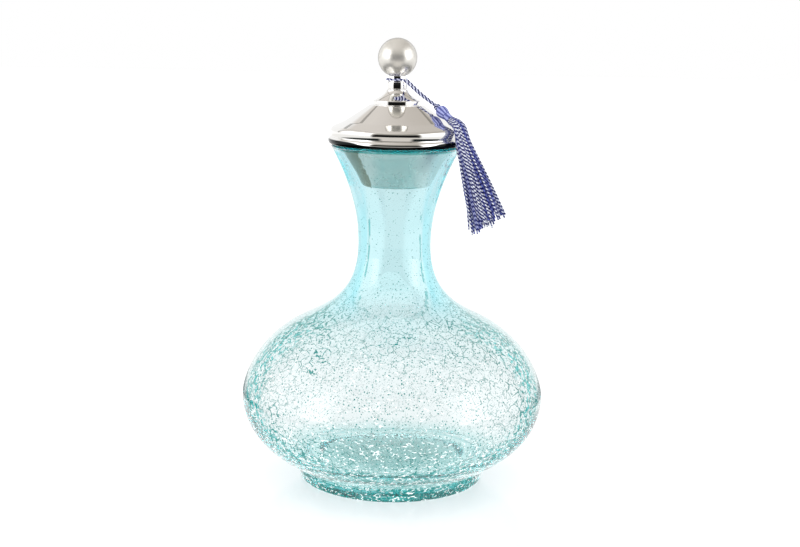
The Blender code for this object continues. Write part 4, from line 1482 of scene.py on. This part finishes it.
class FloorWhite(Nodes):
    """White for the camera, with a painted shadow round the foot. In mirrors it is a pale
    table with a dark edge toward the camera, and painted shade beside the bottle; through
    glass it is a little greyer, with painted shade round the foot and a grey card far
    behind the bottle."""

    def __init__(self):
        super().__init__(bpy.data.materials.new("floor_white"))
        self.place = self.new("TexCoord").outputs["Object"]
        self.x, self.y, _ = self.axes(self.place)
        self.away = self.length(self.place)
        self.aside = self.size(self.around(self.x, self.y))
        self.path = self.new("LightPath").outputs

    def mirrored(self):
        """The stopper sees the table, and the glass, which is nearer, sees it white."""
        ahead = self.fall(self.aside, TABLE_AHEAD)
        near = self.mix(ahead, TABLE_WHITE, TABLE_BEIGE)
        table = self.mix(self.rise(self.away, TABLE_FADES), near, TABLE_FAR)
        edge = self.times(ahead, self.rise(self.away, TABLE_EDGE))
        table = self.mix(edge, table, TABLE_EDGE_BLACK)
        by_stopper = self.rise(self.path["Ray Length"], STOPPER_SEES_FROM)
        # Painted shade: beside the bottle the floor turns black to the stopper's mirrors.
        beside = self.times(
            self.fall(self.away, BESIDE_REACH),
            self.rise(self.aside, BESIDE_FROM),
            self.fall(self.aside, BESIDE_TO),
            by_stopper,
        )
        table = self.mix(by_stopper, FLOOR_SEEN_BY_GLASS, table)
        return self.mix(beside, table, BESIDE_PAINTED_SHADE)

    def through_glass(self):
        # Painted shade: the floor seen through the glass is darker round the foot.
        clear = self.rise(self.away, REFRACTED_PAINTED_SHADE_CLEARS)
        shade = self.mix(clear, REFRACTED_PAINTED_SHADE_AT_FOOT, REFRACTED_WHITE)
        beyond = self.add(self.y, CAMERA_BACK)
        slant = self.math("DIVIDE", self.less(self.x, CAMERA_ASIDE), beyond)
        card = self.times(
            self.fall(self.size(self.add(slant, CARD_SLOPE)), CARD_HALF_WIDTH),
            self.math("GREATER_THAN", self.y, CARD_FROM),
        )
        return self.mix(card, shade, CARD_GREY)

    def build(self):
        seen = self.mix(self.path["Is Diffuse Ray"], self.mirrored(), BOUNCED_WHITE)
        seen = self.mix(self.path["Is Transmission Ray"], seen, self.through_glass())
        glow = self.new("Emission")
        self.put(glow.inputs["Color"], seen)
        grain = self.noise(self.place, FLOOR_GRAIN_WAVES)
        # Painted shadow: the floor glows less round the foot.
        lit = self.mix(self.rise(self.away, PAINTED_SHADOW_CLEARS), PAINTED_SHADOW_AT_FOOT, GLOW)
        both = self.new("MixShader")
        self.put(both.inputs[0], self.path["Is Camera Ray"])
        self.put(both.inputs[1], glow.outputs[0])
        self.put(both.inputs[2], self.tree.nodes["Principled BSDF"].outputs[0])
        self.surface(both.outputs[0])
        return self.finish(
            Base_Color=self.mix(grain, *FLOOR_GRAIN),
            Roughness=0.12,
            Specular_IOR_Level=0.35,
            Emission_Color=lit,
            Emission_Strength=0.80,
        )


def make_floor():
    r = FLOOR_REACH
    corners = [(-r, -r, 0), (r, -r, 0), (r, r, 0), (-r, r, 0)]
    floor = mesh_object("floor", corners, [(0, 1, 2, 3)], smooth=False)
    bpy.context.scene.collection.objects.link(floor)
    floor.data.materials.append(FloorWhite().build())


class Studio(Nodes):
    """A white studio. Metal mirrors a beige ceiling, a soft box on each side, two
    lamps, and a darker middle; threads are lit from above, left and front."""

    def __init__(self, world):
        super().__init__(world)
        self.direction = self.new("TexCoord").outputs["Generated"]
        self.x, self.y, self.z = self.axes(self.direction)
        self.angle = self.around(self.x, self.y)
        self.aside = self.size(self.angle)
        self.ahead = self.fall(self.aside, AHEAD)

    def lamps(self):
        left, right = (
            self.fall(self.size(self.less(self.angle, place)), LAMP_HALF_WIDTH)
            for place in (LEFT_LAMP, RIGHT_LAMP)
        )
        return self.times(self.most(left, right), self.fall(self.z, LAMP_TOP))

    def edges(self):
        """The thin dark frame of the soft boxes and of the window overhead."""
        box = self.near(self.aside, *BOX_FRAME)
        window = self.near(self.math("DIVIDE", self.size(self.x), self.z), *WINDOW_FRAME)
        return self.times(self.most(box, window), 0.55)

    def mirrored(self):
        shade = self.mix(self.rise(self.x, CEILING_TURNS), CEILING_LEFT, CEILING_RIGHT)
        rear = self.times(self.rise(self.aside, REAR_FROM), self.fall(self.z, REAR_TOP))
        shade = self.mix(rear, shade, WHITE)
        soft_boxes = self.times(
            self.rise(self.aside, SOFT_BOX_FROM),
            self.fall(self.aside, SOFT_BOX_TO),
            self.fall(self.z, SOFT_BOX_TOP),
        )
        shade = self.mix(soft_boxes, shade, SOFT_BOX_WHITE)
        shade = self.mix(self.lamps(), shade, LAMP_WHITE)
        for top, colour in ((MIDDLE_TOP, MIDDLE_GREY), (COLUMN_TOP, COLUMN_BLACK)):
            shade = self.mix(self.times(self.ahead, self.fall(self.z, top)), shade, colour)
        return self.mix(self.edges(), shade, FRAME_SHADE)

    def lighting(self):
        share = self.vector_math("DOT_PRODUCT", self.direction, tuple(TOWARD_LIGHT.normalized()))
        return self.mix(self.rise(share, LIT_SPAN, *LIGHT_RANGE), (0.0, 0.0, 0.0), WHITE)

    def build(self):
        path = self.new("LightPath").outputs
        behind = self.mix(self.times(self.ahead, 0.6), REFRACTED_SIDES, REFRACTED_MIDDLE)
        colour = self.mix(path["Is Diffuse Ray"], self.mirrored(), self.lighting())
        colour = self.mix(path["Is Transmission Ray"], colour, behind)
        colour = self.mix(path["Is Camera Ray"], colour, WHITE)
        self.put(self.tree.nodes["Background"].inputs["Color"], colour)


def make_world():
    world = bpy.data.worlds.new("studio")
    bpy.context.scene.world = world
    Studio(world).build()


def let_light_travel():
    """Light that is guided along the thick glass needs many bounces to get out."""
    paths = bpy.context.scene.cycles
    paths.max_bounces = 96
    paths.glossy_bounces = 64
    paths.transmission_bounces = 64


# Assembly


def dress_tassel():
    thread = cord_thread()
    satin = head_thread()
    cord, path, length = make_cord()
    link(cord, "tassel", thread, "tassel_cord")
    knot = link(make_knot(), "tassel", thread, "tassel_knot")
    head = link(make_head(), "tassel", satin, "tassel_head")
    binding = link(make_binding(), "tassel", satin, "tassel_binding")
    link(make_skirt(), "tassel", strand_thread(), "tassel_skirt")


def dress_stopper():
    slot = "polished_nickel"
    link(make_cover(), "stopper", beaded_nickel(), "lid_dome")
    link(make_plug(), "stopper", dull_nickel(), "lid_plug")
    link(make_stem(), "stopper", Metal(slot, NICKEL, 0.04).build(), "finial_stem")
    link(make_ball(), "stopper", satin_nickel(), "finial_ball")
    steel = Metal("plain_steel", STEEL, 0.30).build()
    for name in ("finial_stud", "finial_washer", "finial_nut"):
        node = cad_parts[name]
        node.data.materials.clear()
        node.data.materials.append(steel)


def main():
    make_camera()
    dress_tassel()
    link(make_bottle(), "bottle", CrackleGlass().build(), "glass_bottle")
    dress_stopper()
    make_floor()
    make_world()
    let_light_travel()
    bpy.context.scene.view_settings.view_transform = "Standard"


main()
